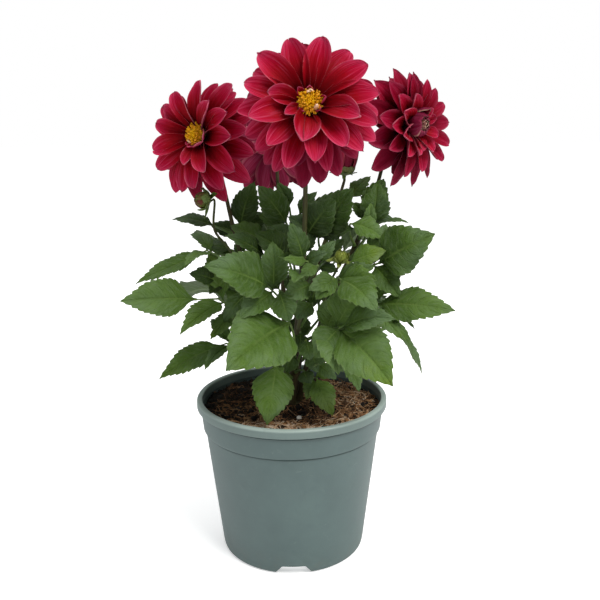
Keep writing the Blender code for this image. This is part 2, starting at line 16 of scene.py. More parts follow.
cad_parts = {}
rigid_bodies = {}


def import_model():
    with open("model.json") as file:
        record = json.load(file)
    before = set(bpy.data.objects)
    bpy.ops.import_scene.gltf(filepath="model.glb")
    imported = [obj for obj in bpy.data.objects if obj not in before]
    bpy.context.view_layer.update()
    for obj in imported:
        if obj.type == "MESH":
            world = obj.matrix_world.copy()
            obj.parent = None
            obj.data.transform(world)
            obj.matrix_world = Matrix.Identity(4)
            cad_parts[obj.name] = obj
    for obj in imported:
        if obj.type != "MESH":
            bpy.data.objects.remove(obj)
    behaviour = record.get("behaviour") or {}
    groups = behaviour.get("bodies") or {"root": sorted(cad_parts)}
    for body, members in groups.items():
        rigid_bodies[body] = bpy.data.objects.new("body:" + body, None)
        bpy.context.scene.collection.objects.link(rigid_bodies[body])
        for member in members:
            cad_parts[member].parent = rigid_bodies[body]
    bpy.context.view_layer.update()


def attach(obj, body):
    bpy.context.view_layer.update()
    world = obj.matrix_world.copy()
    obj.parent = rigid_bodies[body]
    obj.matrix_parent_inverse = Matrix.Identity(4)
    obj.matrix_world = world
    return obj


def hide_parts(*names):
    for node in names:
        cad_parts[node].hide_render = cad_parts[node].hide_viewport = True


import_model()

MM = 0.001
UP = np.array((0.0, 0.0, 1.0))
# How far a piece starts from the one that carries it
GAP = 0.3

# Pot
POT_SIDES = 192
# Edges sharper than this stay sharp, in degrees
POT_SHARP = 32
POT_HEIGHT = 124
RIM_RADIUS = 75
LIP_LOW = 117
LIP_ROUND = 2.0
BAND_LOW = 100
BAND_STEP = 1.5
BAND_RADIUS = 70.3
NECK_RADIUS = 72.2
BODY_TOP_RADIUS = 68.8
BODY_MIDDLE_LEVEL = 50
FOOT_RADIUS = 57
FOOT_INNER_RADIUS = 52
WALL = 1.6
FLOOR_LEVEL = 8
NOTCH_COUNT = 4
NOTCH_HEIGHT = 6.5
NOTCH_FOOT_WIDTH = 28
NOTCH_TOP_WIDTH = 17.5
DRAIN_COUNT = 6
DRAIN_RING_RADIUS = 30
DRAIN_RADIUS = 4
DRAIN_SIDES = 28

# Soil and root crown
SOIL_RADIUS = NECK_RADIUS - WALL - 0.5
STRANDS_WITHIN = NECK_RADIUS - WALL - 1.2
SOIL_EDGE_LEVEL = 113.8
SOIL_TOP = 121
SOIL_MOUND = 1.4
SOIL_RINGS = 60
SOIL_SIDES = 160
STRAND_COUNT = 3500
CRUMB_COUNT = 1200
GRAIN_COUNT = 16
ROOT_COUNT = 9
CROWN_CENTRE = np.array((0.0, -4.0, 0.0))
CROWN_OUTLINE = ((0, 78), (3, 79), (7, 98), (9.5, 110), (9.4, 115), (8.8, 120), (0, 121))

# Leaves
PETIOLE_WIDTH = 2.2
LEAFLET_FOLD = 0.16
LEAFLET_ARCH = 0.20
LEAFLET_DROOP = 0.12
SIDE_ANGLE = math.radians(62)
SIDE_LENGTH = 0.64
LOWER_SIDE_LENGTH = 0.51
FIRST_PAIR_BACK = 3.4
PAIR_SPACING = 17
LOWEST_PAIR_SHARE = 0.15
OUTLINE_SHARES = (0, 0.05, 0.10, 0.16, 0.24, 0.33, 0.42, 0.52, 0.62, 0.72, 0.82, 0.90, 0.96, 1)
OUTLINE_WIDTHS = (0.06, 0.07, 0.20, 0.52, 0.80, 0.96, 1.0, 0.95, 0.83, 0.66, 0.43, 0.22, 0.09, 0.015)
LEAF_COLUMNS = np.array((-1, -0.86, -0.68, -0.48, -0.28, -0.10, 0, 0.10, 0.28, 0.48, 0.68, 0.86, 1))
TEETH_FROM = 0.13
TEETH_TO = 0.93
TOOTH_PITCH = 5.2
TOOTH_DEPTH = 0.27
# Each step of a tooth: its share of the pitch, how far its edge stands out, and how far it leans to the tip
TOOTH_STEPS = ((0.0, -0.50, 0.0), (0.34, 0.0, 0.03), (0.68, 0.36, 0.09), (0.92, 0.55, 0.07))
# How far a side vein has run towards the tip when it reaches the edge: its straight part and its curved part
VEIN_SWEEP = (0.10, 0.14)
VEIN_PAIRS = 7.5

# Blooms
PETAL_ROOT_RADIUS = 7.5
CALYX_BOTTOM = -15.0
STEM_STEPS = 6
NECK_LENGTH = 6
BUD_NECK_LENGTH = 3

PETAL_ROWS = 20
PETAL_COLUMNS = np.linspace(-1, 1, 13)
PETAL_WIDEST = 0.62
# Petals that rise more than this at their base belong to the inner ring
INNER_RISE = 15
# Petals whose tip rises past this close over the heart. Their tone tells the material to give them pale rims
CLOSING_RISE = 100
CLOSING_TONE = 2.0
# Petals that rise more than this at their base aren't lifted over those before them
STEEP = 47
PETAL_LEAN = 15
# For each bloom: how pointed its outer and its inner petals are, and how much more so they are at its top
POINTED = {
    "centre": (0.28, 0.22, 0.0), "left": (0.36, 0.14, 0.0),
    "right": (0.62, 0.34, 0.22), "rear": (0.25, 0.25, 0.0),
}
# How much wider its outer and its inner petals are than in the tables, and how much darker its petals are
PETAL_WIDENING = {
    "centre": (1.05, 1.0), "left": (1.06, 0.97), "right": (1.20, 1.04), "rear": (1.0, 1.0),
}
PETAL_DARKENING = {"right": 0.60, "left": -0.13}
FLORET_COUNT = 150
# Florets farther out than this share of a disc are open. A floret's outline has radii, and levels as shares
# of its length
OPEN_FLORETS_FROM = 0.62
CLOSED_FLORET = ((0, 0), (0.42, 0), (0.55, 0.35), (0.60, 0.62), (0.30, 0.88), (0, 1.04))
OPEN_FLORET = (
    (0, 0), (0.40, 0), (0.44, 0.4), (0.52, 0.72), (0.78, 1.0), (0.55, 0.97), (0.28, 0.75), (0, 0.7),
)
# The rings of a closed core: how many petals, their radius, their spread, the angle from its top where they
# end, in radians, and their tone
CORE_RINGS = ((5, 6.4, 0.80, 0.10, 0.10), (5, 7.3, 0.84, 0.42, 0.34), (5, 8.2, 0.92, 0.80, 0.95))
CORE_PETAL_COUNT = 12
FOLDED_PETAL_COUNT = 15
# The rear bloom's whorls: how many petals, the first one's angle, and then as in the tables of petals
REAR_WHORLS = (
    (17, 3, 40, 12, 3, -24), (15, 16, 35, 14, 20, 0), (11, 8, 29, 15, 34, 12), (7, 30, 19, 11, 50, 28),
)
# Where small cream-tipped curls stand round each disc, and where small wine-red petals do
CREAM_ANGLES = {"centre": (354, 10, 138), "left": (210,), "rear": (70,)}
PETALOID_ANGLES = {"centre": (325, 4, 92, 140, 232), "left": (205, 182, 158), "rear": (40, 160, 285)}
GOLDEN_ANGLE = math.pi * (3 - math.sqrt(5))

# Soil details: the middle of the hollow, twigs as place, turn, length and tone, and white grains as place,
# size and how high they lie on the strands
HOLLOW_CENTRE = (9, -23)
TWIGS = ((-59, 7, -2, 20, 0.46), (40, 31, -40, 16, 0.50), (-54, 38, 70, 12, 0.30))
WHITE_GRAINS = ((5.2, -31.5, 3.0, 2.0), (-0.5, 3.6, 1.0, 0), (48.9, 41.9, 1.0, 0), (47.5, 56.7, 1.0, 0))

# Camera, light and floor. The camera's and the lights' places, the lights' sizes and the floor are in metres
CAMERA_PITCH = 13.18
CAMERA_YAW = 0.75
CAMERA_ROLL = 0.5
CAMERA_PLACE = Vector((0, -0.550, 0.329))
CAMERA_LENS = 43.86
SENSOR_WIDTH = 36
STUDIO_SIZE = 30
STUDIO_DROP = 0.0004
WORLD_LIGHT = 0.27
# The floor's own glow near the pot and far from it, and the share of it that lights the plant
FLOOR_GLOW = (0.42, 0.80)
GLOW_ON_PLANT = 0.35
# Each light: its name, place, aim, size, power in watts and colour
LIGHTS = (
    ("key", (0.80, -0.80, 1.55), (0, 0, 0.2), 1.1, 33, (1, 0.985, 0.96)),
    ("fill", (-1.2, -0.9, 0.8), (0, 0, 0.2), 1.2, 4, (0.97, 0.985, 1)),
    ("top", (-0.2, 0.4, 1.6), (0, 0, 0.25), 1.2, 12, (1, 1, 1)),
)

# Each stem: its parent and the height where it leaves it, or None from the root crown's top; its route; its
# radius at the start and at the end
STEMS = {
    "stem_centre": (
        None, ((0, -9.5, 120), (4, -12, 170), (9, -14, 220), (11, -16, 262), (12, -21, 305)), 3.0, 1.9,
    ),
    "stem_left": (
        None, ((-5.2, -5.7, 120), (-14, -3, 160), (-28, 3, 205), (-41, 10, 245), (-49, 16, 280)), 2.7, 1.8,
    ),
    "stem_right": (
        None, ((5.2, -5.7, 120), (16, -2, 160), (34, 6, 205), (51, 13, 240), (64, 18, 272)), 2.7, 1.8,
    ),
    "stem_rear": (
        None, ((-3.2, 0.5, 120), (-5, 6, 170), (-6, 12, 220), (-7, 17, 262), (-9, 21, 290)), 2.6, 1.7,
    ),
    "stem_opening_bud": (None, ((3.2, 0.5, 120), (9, 7, 170), (20, 14, 220), (34, 20, 262)), 2.4, 1.5),
    "stem_left_bud": (("stem_left", 228), ((-48, 3, 242), (-57, 0, 256)), 1.4, 1.2),
    "stem_front_bud": (("stem_right", 186), ((26, -14, 205), (30, -26, 221)), 1.4, 1.1),
    "stem_front_shoot": (("stem_centre", 182), ((9, -28, 208), (13, -40, 228), (15, -45, 236)), 1.7, 1.3),
}

# Each bloom: its stem, the centre of its disc, the way it faces, and its scale
BLOOMS = {
    "centre": ("stem_centre", (14, -45, 346), (0.02, -0.93, 0.34), 1.0),
    "left": ("stem_left", (-69, 8, 325), (-0.52, -0.83, 0.12), 0.93),
    "right": ("stem_right", (93, 15, 331), (0.62, -0.78, 0.05), 0.89),
    "rear": ("stem_rear", (-14, 50, 318), (-0.22, 0.96, 0.04), 0.88),
}

# Each bud: its stem, its centre, the way it faces, and its radius. The opening one has a petal height too
BUDS = {
    "bud_left": ("stem_left_bud", (-65, 0, 278), (-0.25, -0.1, 0.96), 6.0),
    "bud_front": ("stem_front_bud", (36, -36, 240), (0.2, -0.45, 0.87), 4.5),
}
# How each bud is turned on its stem, and whether it is a young, yellow-green one
BUD_LOOKS = {"bud_left": ((-0.82, -0.28, 0.16), 0), "bud_front": ((0.1, -0.50, 0.85), 1)}
OPENING_BUD = ("stem_opening_bud", (43, 25, 300), (0.05, 0.04, 1.0), 9.0, 26)

# Each leaf: its stem and the height where it leaves it, the joint where its end leaflet starts, that
# leaflet's tip, the pairs of side leaflets, the leaflets' width to their length, and the lean to the front.
# The last number is its tone, from dark grey-green at 0 to yellow-green at 1
# Tones are partly painted light and shade: low on leaves in the shade, high on lit ones
LEAVES = {
    "leaf_01": ("stem_left", 178, (-54, -18, 206), (-126, -22, 206), 2, 0.42, 35, 0.70),
    "leaf_02": ("stem_left", 222, (-63, -2, 240), (-119, -5, 218), 1, 0.34, 10, 0.62),
    "leaf_03": ("stem_left", 252, (-57, 8, 257), (-92, 20, 262), 0, 0.40, 30, 0.34),
    "leaf_04": ("stem_centre", 192, (-15, -45, 220), (-57, -70, 242), 1, 0.62, 55, 0.42),
    "leaf_05": ("stem_centre", 160, (-1, -45, 194), (-44, -84, 172), 0, 0.80, 60, 0.62),
    "leaf_06": ("stem_centre", 142, (-11, -32, 160), (-18, -60, 122), 1, 0.64, 50, 0.72),
    "leaf_07": ("stem_left", 150, (-50, -10, 169), (-101, -25, 148), 2, 0.34, 20, 0.62),
    "leaf_08": ("stem_right", 136, (19, -28, 146), (30, -48, 124), 1, 0.60, 50, 0.92),
    "leaf_09": ("stem_right", 164, (33, -52, 192), (68, -86, 160), 2, 0.78, 60, 0.70),
    "leaf_10": ("stem_right", 214, (35, -48, 226), (58, -78, 211), 1, 0.66, 50, 0.55),
    "leaf_11": ("stem_right", 222, (66, -14, 231), (103, -35, 256), 1, 0.66, 65, 0.56),
    "leaf_12": ("stem_right", 176, (64, -20, 201), (118, -45, 202), 1, 0.46, 40, 0.66),
    "leaf_13": ("stem_opening_bud", 166, (74, 8, 188), (108, 14, 134), 1, 0.30, 0, 0.50),
    "leaf_14": ("stem_right", 246, (62, 10, 264), (72, 12, 292), 1, 0.70, 40, 0.32),
    "leaf_15": ("stem_opening_bud", 236, (22, -2, 252), (47, -9, 286), 1, 0.60, 50, 0.12),
    "leaf_16": ("stem_rear", 240, (-2, 8, 258), (-24, 8, 288), 1, 0.60, 60, 0.34),
    "leaf_17": ("stem_left", 224, (-39, 24, 253), (-27, 28, 290), 1, 0.56, 60, 0.16),
    "leaf_18": ("stem_front_shoot", 226, (9, -53, 241), (0, -57, 268), 1, 0.55, 50, 0.30),
    "leaf_19": ("stem_front_shoot", 219, (9, -52, 229), (2, -80, 231), 0, 0.50, 40, 0.60),
    "leaf_20": ("stem_left", 200, (-18, -22, 238), (-46, -36, 256), 2, 0.50, 40, 0.22),
    "leaf_21": ("stem_right", 148, (40, -20, 160), (52, -32, 136), 1, 0.50, 20, 0.58),
    "leaf_22": ("stem_opening_bud", 262, (47, 26, 275), (64, 30, 292), 0, 0.40, 20, 0.70),
    "leaf_23": ("stem_rear", 150, (-10, 40, 166), (-24, 88, 148), 2, 0.62, -40, 0.50),
    "leaf_24": ("stem_rear", 188, (8, 44, 210), (20, 89, 202), 2, 0.60, -40, 0.52),
    "leaf_25": ("stem_left", 166, (-54, 30, 200), (-98, 72, 184), 2, 0.56, -30, 0.46),
    "leaf_26": ("stem_opening_bud", 150, (52, 44, 180), (98, 80, 168), 2, 0.58, -30, 0.58),
    "leaf_27": ("stem_rear", 224, (-16, 44, 246), (-38, 84, 252), 2, 0.60, -45, 0.30),
    "leaf_28": ("stem_opening_bud", 206, (46, 48, 232), (78, 84, 236), 1, 0.56, -40, 0.38),
    "leaf_29": ("stem_left", 214, (-52, 40, 234), (-84, 66, 244), 2, 0.56, -30, 0.36),
}

# The leaves whose end leaflet differs from most: its arch, widening and lean, and the share of its length
# that is bare stalk
LEAF_HABITS = {
    "leaf_01": (-0.02, 1.0, 60, 0.22), "leaf_02": (0.0, 0.88, 35, 0.05), "leaf_07": (0.03, 1.15, 45, 0.03),
    "leaf_09": (0.20, 0.86, 60, 0.0), "leaf_11": (0.17, 1.14, 65, 0.0), "leaf_12": (0.21, 1.08, 45, 0.0),
    "leaf_13": (0.10, 0.95, 15, 0.0), "leaf_15": (0.20, 1.30, 50, 0.0), "leaf_22": (0.20, 1.70, 30, 0.0),
}

# The leaves with one smaller side leaflet: its hand, left being -1, and its share of the full length
SMALL_SIDES = {"leaf_06": (-1, 0.45)}

# Leaves that fill the plant's middle, with no solid of their own
# Their tones too are partly painted light and shade
FILLER_LEAVES = (
    ("stem_rear", 240, (0, 15, 270), (-9, 18, 289), 0, 0.6, 50, 0.34),
    ("stem_rear", 235, (7, 4, 265), (21, 4, 283), 0, 0.52, 50, 0.3),
    ("stem_right", 231, (62, 4, 256), (67, 8, 290), 0, 0.66, 50, 0.36),
    ("stem_right", 231, (60, -4, 256), (61, -2, 275), 0, 0.5, 50, 0.62),
    ("stem_right", 238, (67, 6, 258), (90, 0, 260), 0, 0.3, 20, 0.4),
    ("stem_right", 240, (45, -8, 260), (70, -14, 250), 0, 0.72, 45, 0.74),
    ("stem_right", 213, (44, -20, 233), (70, -24, 242), 0, 0.72, 45, 0.88),
    ("stem_front_shoot", 228, (19, -46, 238), (32, -44, 253), 0, 0.55, 50, 0.46),
    ("stem_front_shoot", 228, (12, -54, 240), (-5, -58, 243), 0, 0.56, 50, 0.62),
    ("stem_front_shoot", 230, (19, -58, 238), (6, -64, 231), 0, 0.62, 50, 0.66),
    ("stem_right", 208, (33, -38, 223), (60, -44, 235), 0, 0.5, 60, 0.48),
    ("stem_centre", 213, (-2, -22, 238), (-25, -22, 256), 1, 0.8, 45, 0.1),
    ("stem_centre", 215, (1, -14, 245), (-15, -6, 259), 0, 0.85, 45, 0.22),
    ("stem_left", 225, (-20, 0, 245), (-45, 4, 258), 0, 0.8, 35, 0.58),
    ("stem_centre", 194, (-8, -26, 214), (-21, -28, 232), 0, 0.62, 60, 0.14),
    ("stem_centre", 207, (15, -46, 222), (-5, -54, 215), 0, 0.85, 55, 0.66),
    ("stem_centre", 212, (30, -50, 227), (17, -58, 214), 0, 0.72, 60, 0.6),
    ("stem_centre", 199, (-8, -52, 219), (-1, -56, 197), 0, 0.78, 60, 0.48),
    ("stem_centre", 184, (16, -26, 204), (4, -32, 193), 0, 0.85, 60, 0.46),
    ("stem_centre", 166, (7, -22, 181), (6, -26, 165), 0, 0.78, 70, 0.2),
    ("stem_right", 156, (16, -24, 166), (20, -30, 151), 0, 0.92, 70, 0.4),
    ("stem_centre", 147, (9, -26, 152), (14, -32, 142), 0, 1.0, 70, 0.34),
    ("stem_centre", 152, (1, -22, 164), (-4, -28, 150), 0, 0.75, 70, 0.3),
    ("stem_left", 203, (-56, -8, 218), (-76, -10, 224), 1, 0.8, 40, 0.14),
    ("stem_left", 197, (-31, -24, 212), (-50, -30, 191), 0, 0.52, 50, 0.4),
    ("stem_left", 218, (-45, 12, 238), (-70, 16, 241), 1, 0.62, 30, 0.4),
    ("stem_right", 187, (63, 0, 207), (82, -6, 209), 1, 0.62, 50, 0.46),
    ("stem_right", 170, (29, -18, 195), (45, -30, 184), 0, 0.7, 60, 0.5),
    ("stem_rear", 202, (25, 14, 227), (43, 18, 244), 1, 0.7, 40, 0.16),
    ("stem_rear", 172, (4, 14, 197), (-12, 10, 198), 1, 0.75, 40, 0.18),
    ("stem_opening_bud", 172, (33, 12, 197), (48, 10, 210), 1, 0.75, 40, 0.2),
    ("stem_right", 164, (34, -56, 193), (16, -66, 174), 0, 0.88, 60, 0.62),
    ("stem_right", 164, (35, -56, 192), (70, -76, 205), 0, 0.52, 40, 0.52),
    ("stem_opening_bud", 230, (12, -4, 250), (34, -10, 280), 0, 0.75, 50, 0.10),
    ("stem_centre", 150, (11, -30, 177), (14, -34, 162), 0, 0.95, 65, 0.52),
    ("stem_right", 140, (20, -36, 160), (33, -42, 150), 0, 0.62, 60, 0.56),
    ("stem_centre", 198, (-1, 2, 221), (5, -2, 204), 0, 0.85, 50, 0.16),
    ("stem_right", 186, (20, 2, 214), (15, -2, 194), 0, 0.80, 50, 0.12),
    ("stem_centre", 168, (6, -2, 190), (8, -6, 170), 0, 0.85, 50, 0.10),
    ("stem_right", 182, (44, -8, 204), (60, -14, 192), 0, 0.70, 50, 0.34),
    ("stem_centre", 224, (8, -6, 240), (20, -8, 252), 0, 0.80, 50, 0.10),
)

# Each petal that shows from the front: its angle round the bloom clockwise from the top, its length, its
# width, and its rise from the bloom's plane at its base and at its tip
CENTRE_PETALS = (
    (192, 26, 18, 38, 8), (115, 31, 17, 38, 15), (145, 35, 16, 30, 5), (175, 37, 16, 28, 2),
    (222, 37, 15, 28, 4), (201, 40, 15, 12, -8), (248, 39, 17, 34, 12), (271, 24, 13, 44, 22),
    (234, 21, 8, 60, 35), (284, 38, 15, 24, 4), (313, 38, 17, 24, 6), (340, 37, 18, 22, 4),
    (356, 34, 17, 8, -10), (12, 36, 18, 22, 6), (36, 39, 17, 8, -12), (58, 38, 17, 22, 4),
    (89, 39, 19, 22, 4), (108, 40, 16, 16, -4), (134, 41, 15, 12, -10), (120, 44, 15, 0, -22),
    (158, 45, 14, -5, -28), (171, 46, 16, -8, -30), (164, 40, 13, 2, -18), (206, 44, 13, 0, -20),
    (185, 48, 14, -10, -32), (229, 41, 13, 8, -14), (262, 41, 13, 10, -8), (246, 41, 14, -5, -25),
    (218, 43, 14, -5, -28), (300, 36, 16, 4, -12), (326, 36, 16, 2, -16), (72, 38, 16, 6, -12),
    (98, 41, 15, -2, -22), (18, 34, 16, -4, -20), (276, 39, 14, -4, -22), (232, 40, 14, -10, -34),
    (135, 42, 14, -12, -36),
)
LEFT_PETALS = (
    (12, 33, 14, 26, 6), (18, 33, 13, 5, -15), (46, 44, 15, 22, 4), (336, 27, 15, 26, 6),
    (299, 34, 14, 5, -10), (283, 27, 14, 26, 8), (252, 29, 15, 26, 8), (228, 34, 14, 22, 4),
    (212, 43, 14, 0, -20), (172, 33, 14, 20, 0), (187, 43, 13, -5, -25), (158, 46, 15, -5, -28),
    (129, 47, 16, -5, -25), (148, 40, 15, 12, -6), (119, 43, 17, 22, 4), (144, 28, 14, 35, 10),
    (94, 34, 16, 26, 8), (67, 33, 15, 26, 10), (183, 19, 10, 50, 25), (84, 38, 15, 8, -10),
    (107, 43, 15, 4, -14), (44, 36, 13, 0, -18), (56, 41, 13, 0, -18), (43, 27, 11, 42, 20),
    (308, 28, 14, 20, 0), (358, 30, 14, 8, -12), (268, 31, 14, 0, -16), (236, 36, 14, -2, -20),
    (198, 37, 14, 6, -14), (72, 40, 14, -4, -24), (100, 42, 14, -8, -28), (320, 31, 14, -4, -22),
    (30, 35, 14, -10, -30), (112, 10, 15, 42, 48),
)
RIGHT_PETALS = (
    (337, 36, 11, 5, -15), (342, 32, 10, 26, 6), (348, 31, 10, 26, 6), (14, 27, 10, 26, 8),
    (35, 25, 10, 26, 8), (59, 25, 10, 26, 8), (85, 29, 12, 24, 5), (113, 33, 11, 22, 2),
    (133, 35, 11, 20, 0), (122, 46, 11, -5, -25), (141, 46, 11, -5, -25), (170, 39, 12, 0, -20),
    (198, 40, 14, 0, -20), (228, 39, 17, -5, -22), (316, 38, 14, 0, -16), (323, 33, 12, 10, -6),
    (277, 34, 14, 22, 0), (240, 28, 13, 24, 4), (214, 22, 11, 40, 15), (171, 15, 9, 48, 25),
    (307, 27, 12, 30, 10), (44, 14, 7, 60, 40), (73, 15, 8, 50, 28), (117, 15, 9, 46, 24),
    (194, 32, 13, 12, -8), (163, 29, 12, 16, -4), (256, 36, 15, 2, -14), (287, 41, 14, -4, -20),
    (2, 30, 11, 6, -14), (25, 30, 11, 0, -20), (48, 31, 11, 0, -22), (74, 33, 11, 0, -22),
    (98, 36, 11, 0, -22), (266, 16, 15, 64, 122), (330, 20, 12, 46, 24), (8, 19, 9, 56, 104),
    (145, 20, 10, 42, 20), (192, 20, 10, 50, 28), (350, 12, 9, 74, 126), (42, 11, 9, 74, 128),
    (92, 11, 9, 74, 124), (140, 11, 9, 74, 126), (184, 12, 10, 72, 124), (222, 13, 11, 70, 124),
    (308, 14, 11, 70, 122), (18, 16, 7, 60, 134), (66, 14, 7, 58, 140), (112, 14, 7, 60, 140),
    (338, 17, 7, 60, 132), (160, 14, 7, 60, 136), (290, 22, 13, 44, 22), (250, 21, 12, 42, 24),
    (272, 27, 13, 32, 8),
)


def unit(vector):
    return vector / np.linalg.norm(vector)


def clamp(value):
    return min(max(value, 0), 1)


def side_of(axis):
    """A level direction square to axis, or +X where axis stands upright."""
    across = np.cross(axis, UP)
    if np.linalg.norm(across) < 0.05:
        return unit(np.array((1.0, 0.0, 0.0)) - axis * axis[0])
    return unit(across)


def bezier(a, b, c, share):
    t = np.asarray(share, float)[..., None]
    return a * (1 - t) ** 2 + b * (2 * t * (1 - t)) + c * t**2


def bezier_way(a, b, c, share):
    t = np.asarray(share, float)[..., None]
    way = (b - a) * (1 - t) + (c - b) * t
    return way / np.linalg.norm(way, axis=-1, keepdims=True)


def smooth_route(points, steps):
    """Points along a Catmull-Rom curve through the given points."""
    ends = [points[0] * 2 - points[1], *points, points[-1] * 2 - points[-2]]
    route = []
    for a, b, c, d in zip(ends, ends[1:], ends[2:], ends[3:]):
        for i in range(steps):
            t = i / steps
            square = (a * 2 - b * 5 + c * 4 - d) * t**2
            cube = (b * 3 - a - c * 3 + d) * t**3
            route.append((b * 2 + (c - a) * t + square + cube) / 2)
    return np.array([*route, points[-1]])


def spoke(right, up, turn):
    """The way out from a flower's middle, turned clockwise from its top by an angle in radians."""
    return up * math.cos(turn) + right * math.sin(turn)


def spokes(rng, right, up, angles, stray):
    """The way out at each angle, with a random stray, both in degrees."""
    for angle in angles:
        yield spoke(right, up, math.radians(angle + rng.uniform(-stray, stray)))


def scaled(outline, size):
    return [(radius * size, level * size) for radius, level in outline]


def grid_faces(rows, columns, closed=False):
    """Quads between a grid's points, row by row. A closed grid joins its last column to its first."""
    i, j = np.meshgrid(np.arange(rows - 1), np.arange(columns - (not closed)), indexing="ij")
    k = (j + 1) % columns
    a, b = i * columns + j, i * columns + k
    return np.stack([a, b, b + columns, a + columns], axis=-1).reshape(-1, 4)


class Piece:
    """Gathers one visible piece: its points, its faces, and four values at each point for its material."""

    VALUES = ("along", "across", "tone", "under")

    def __init__(self):
        self.points = []
        self.values = []
        self.faces = []
        self.count = 0

    def add(self, points, faces, values):
        points = np.asarray(points, float).reshape(-1, 3)
        first = self.count
        self.points.append(points)
        self.values.append(np.broadcast_to(values, (len(points), 4)))
        self.faces += [[first + corner for corner in face] for face in np.asarray(faces).tolist()]
        self.count += len(points)
        return first

    def make(self, name, material, slot, *nodes, sharp=55):
        mesh = bpy.data.meshes.new(name)
        mesh.from_pydata((np.concatenate(self.points) * MM).tolist(), [], self.faces)
        values = np.concatenate(self.values)
        for index, value in enumerate(self.VALUES):
            layer = mesh.attributes.new(value, "FLOAT", "POINT")
            layer.data.foreach_set("value", np.ascontiguousarray(values[:, index], dtype=np.float32))
        mesh.materials.append(material)
        mesh.shade_smooth()
        mesh.set_sharp_from_angle(angle=math.radians(sharp))
        obj = bpy.data.objects.new(name, mesh)
        bpy.context.scene.collection.objects.link(obj)
        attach(obj, "root")
        if nodes:
            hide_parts(*nodes)
        return obj


def pack_values(shape, along, across, tone, under):
    return np.stack([np.broadcast_to(v, shape) for v in (along, across, tone, under)], axis=-1).reshape(-1, 4)


def add_slab(piece, grid, depth, along, across, tone, back=1.0):
    """A thin closed solid. The grid is its upper face, and depth how far below it the lower one lies.

    Back is the lower face's value for under.
    """
    rows, columns = grid.shape[:2]
    normal = np.cross(np.gradient(grid, axis=1), np.gradient(grid, axis=0))
    normal /= np.linalg.norm(normal, axis=-1, keepdims=True) + 1e-12
    lower = grid - normal * np.asarray(depth)[..., None]
    quads = grid_faces(rows, columns)
    shape = (rows, columns)
    top = piece.add(grid, quads, pack_values(shape, along, across, tone, 0))
    low = piece.add(lower, quads[:, ::-1], pack_values(shape, along, across, tone, back))
    index = np.arange(rows * columns).reshape(rows, columns)
    rim = np.concatenate([index[0, :-1], index[:-1, -1], index[-1, :0:-1], index[:0:-1, 0]])
    after = np.roll(rim, -1)
    piece.faces += np.stack([low + rim, low + after, top + after, top + rim], axis=-1).tolist()


def add_tube(piece, route, radii, sides, tone, ridges=0.0, under=0.0):
    """A closed round rod along a route, with a radius at each of its points."""
    route = np.asarray(route, float)
    ways = np.gradient(route, axis=0)
    ways /= np.linalg.norm(ways, axis=1, keepdims=True)
    across = side_of(ways[0])
    angles = 2 * np.pi * np.arange(sides) / sides
    rings = []
    for place, way, radius in zip(route, ways, radii):
        across = unit(across - way * (across @ way))
        forward = np.cross(way, across)
        out = np.cos(angles)[:, None] * across + np.sin(angles)[:, None] * forward
        rings.append(place + out * (radius * (1 + ridges * np.cos(angles * 5)))[:, None])
    share = np.linspace(0, 1, len(route))[:, None]
    shape = (len(route), sides)
    values = pack_values(shape, share, (angles / np.pi - 1)[None, :], tone, under)
    first = piece.add(np.array(rings), grid_faces(*shape, closed=True), values)
    last = first + (len(route) - 1) * sides
    piece.faces.append([first + k for k in reversed(range(sides))])
    piece.faces.append([last + k for k in range(sides)])


def add_lathe(piece, outline, sides, centre, axis, tone, wobble=None):
    """A closed solid turned about axis. The outline runs from its bottom pole to its top pole."""
    across = side_of(axis)
    forward = np.cross(axis, across)
    angles = 2 * np.pi * (np.arange(sides) + 0.5) / sides
    out = np.cos(angles)[:, None] * across + np.sin(angles)[:, None] * forward
    radii = np.array([r for r, _ in outline[1:-1]])[:, None, None]
    levels = np.array([z for _, z in outline[1:-1]])[:, None, None]
    if wobble is not None:
        radii = radii * wobble(levels, angles[None, :, None])
    grid = centre + axis * levels + out[None] * radii
    rows = len(outline) - 2
    share = np.linspace(0, 1, rows)[:, None]
    values = pack_values((rows, sides), share, (angles / np.pi - 1)[None, :], tone, 0)
    first = piece.add(grid, grid_faces(rows, sides, closed=True), values)
    poles = np.array([centre + axis * outline[0][1], centre + axis * outline[-1][1]])
    low = piece.add(poles, np.empty((0, 3), int), [(0, 0, tone, 0), (1, 0, tone, 0)])
    ring = first + (rows - 1) * sides
    for k in range(sides):
        j = (k + 1) % sides
        piece.faces.append([low, first + j, first + k])
        piece.faces.append([low + 1, ring + k, ring + j])


class Flow:
    """A number or a colour that nodes give at each point. Arithmetic with it adds Math nodes."""

    def __init__(self, graph, socket):
        self.graph = graph
        self.socket = socket

    def __add__(self, other):
        return self.graph.math("ADD", self, other)

    def __sub__(self, other):
        return self.graph.math("SUBTRACT", self, other)

    def __rsub__(self, other):
        return self.graph.math("SUBTRACT", other, self)

    def __mul__(self, other):
        return self.graph.math("MULTIPLY", self, other)

    def __pow__(self, other):
        return self.graph.math("POWER", self, other)

    def __abs__(self):
        return self.graph.math("ABSOLUTE", self)

    def most(self, other):
        return self.graph.math("MAXIMUM", self, other)

    def band(self, low, high):
        """0 below low, 1 above high, and smooth in between. It falls where low is above high."""
        ends = {"Value": self, "From Min": low, "From Max": high}
        return self.graph.flow("MapRange", ends, "Result", interpolation_type="SMOOTHSTEP")

    def ramp(self, *stops):
        """The colour that belongs to this number. Each stop is a place on the scale and a colour."""
        made = self.graph.flow("ValToRGB", {"Fac": self}, "Color")
        elements = made.socket.node.color_ramp.elements
        while len(elements) < len(stops):
            elements.new(0.5)
        for element, (place, *colour) in zip(elements, stops):
            element.position = place
            element.color = (*colour, 1)
        return made


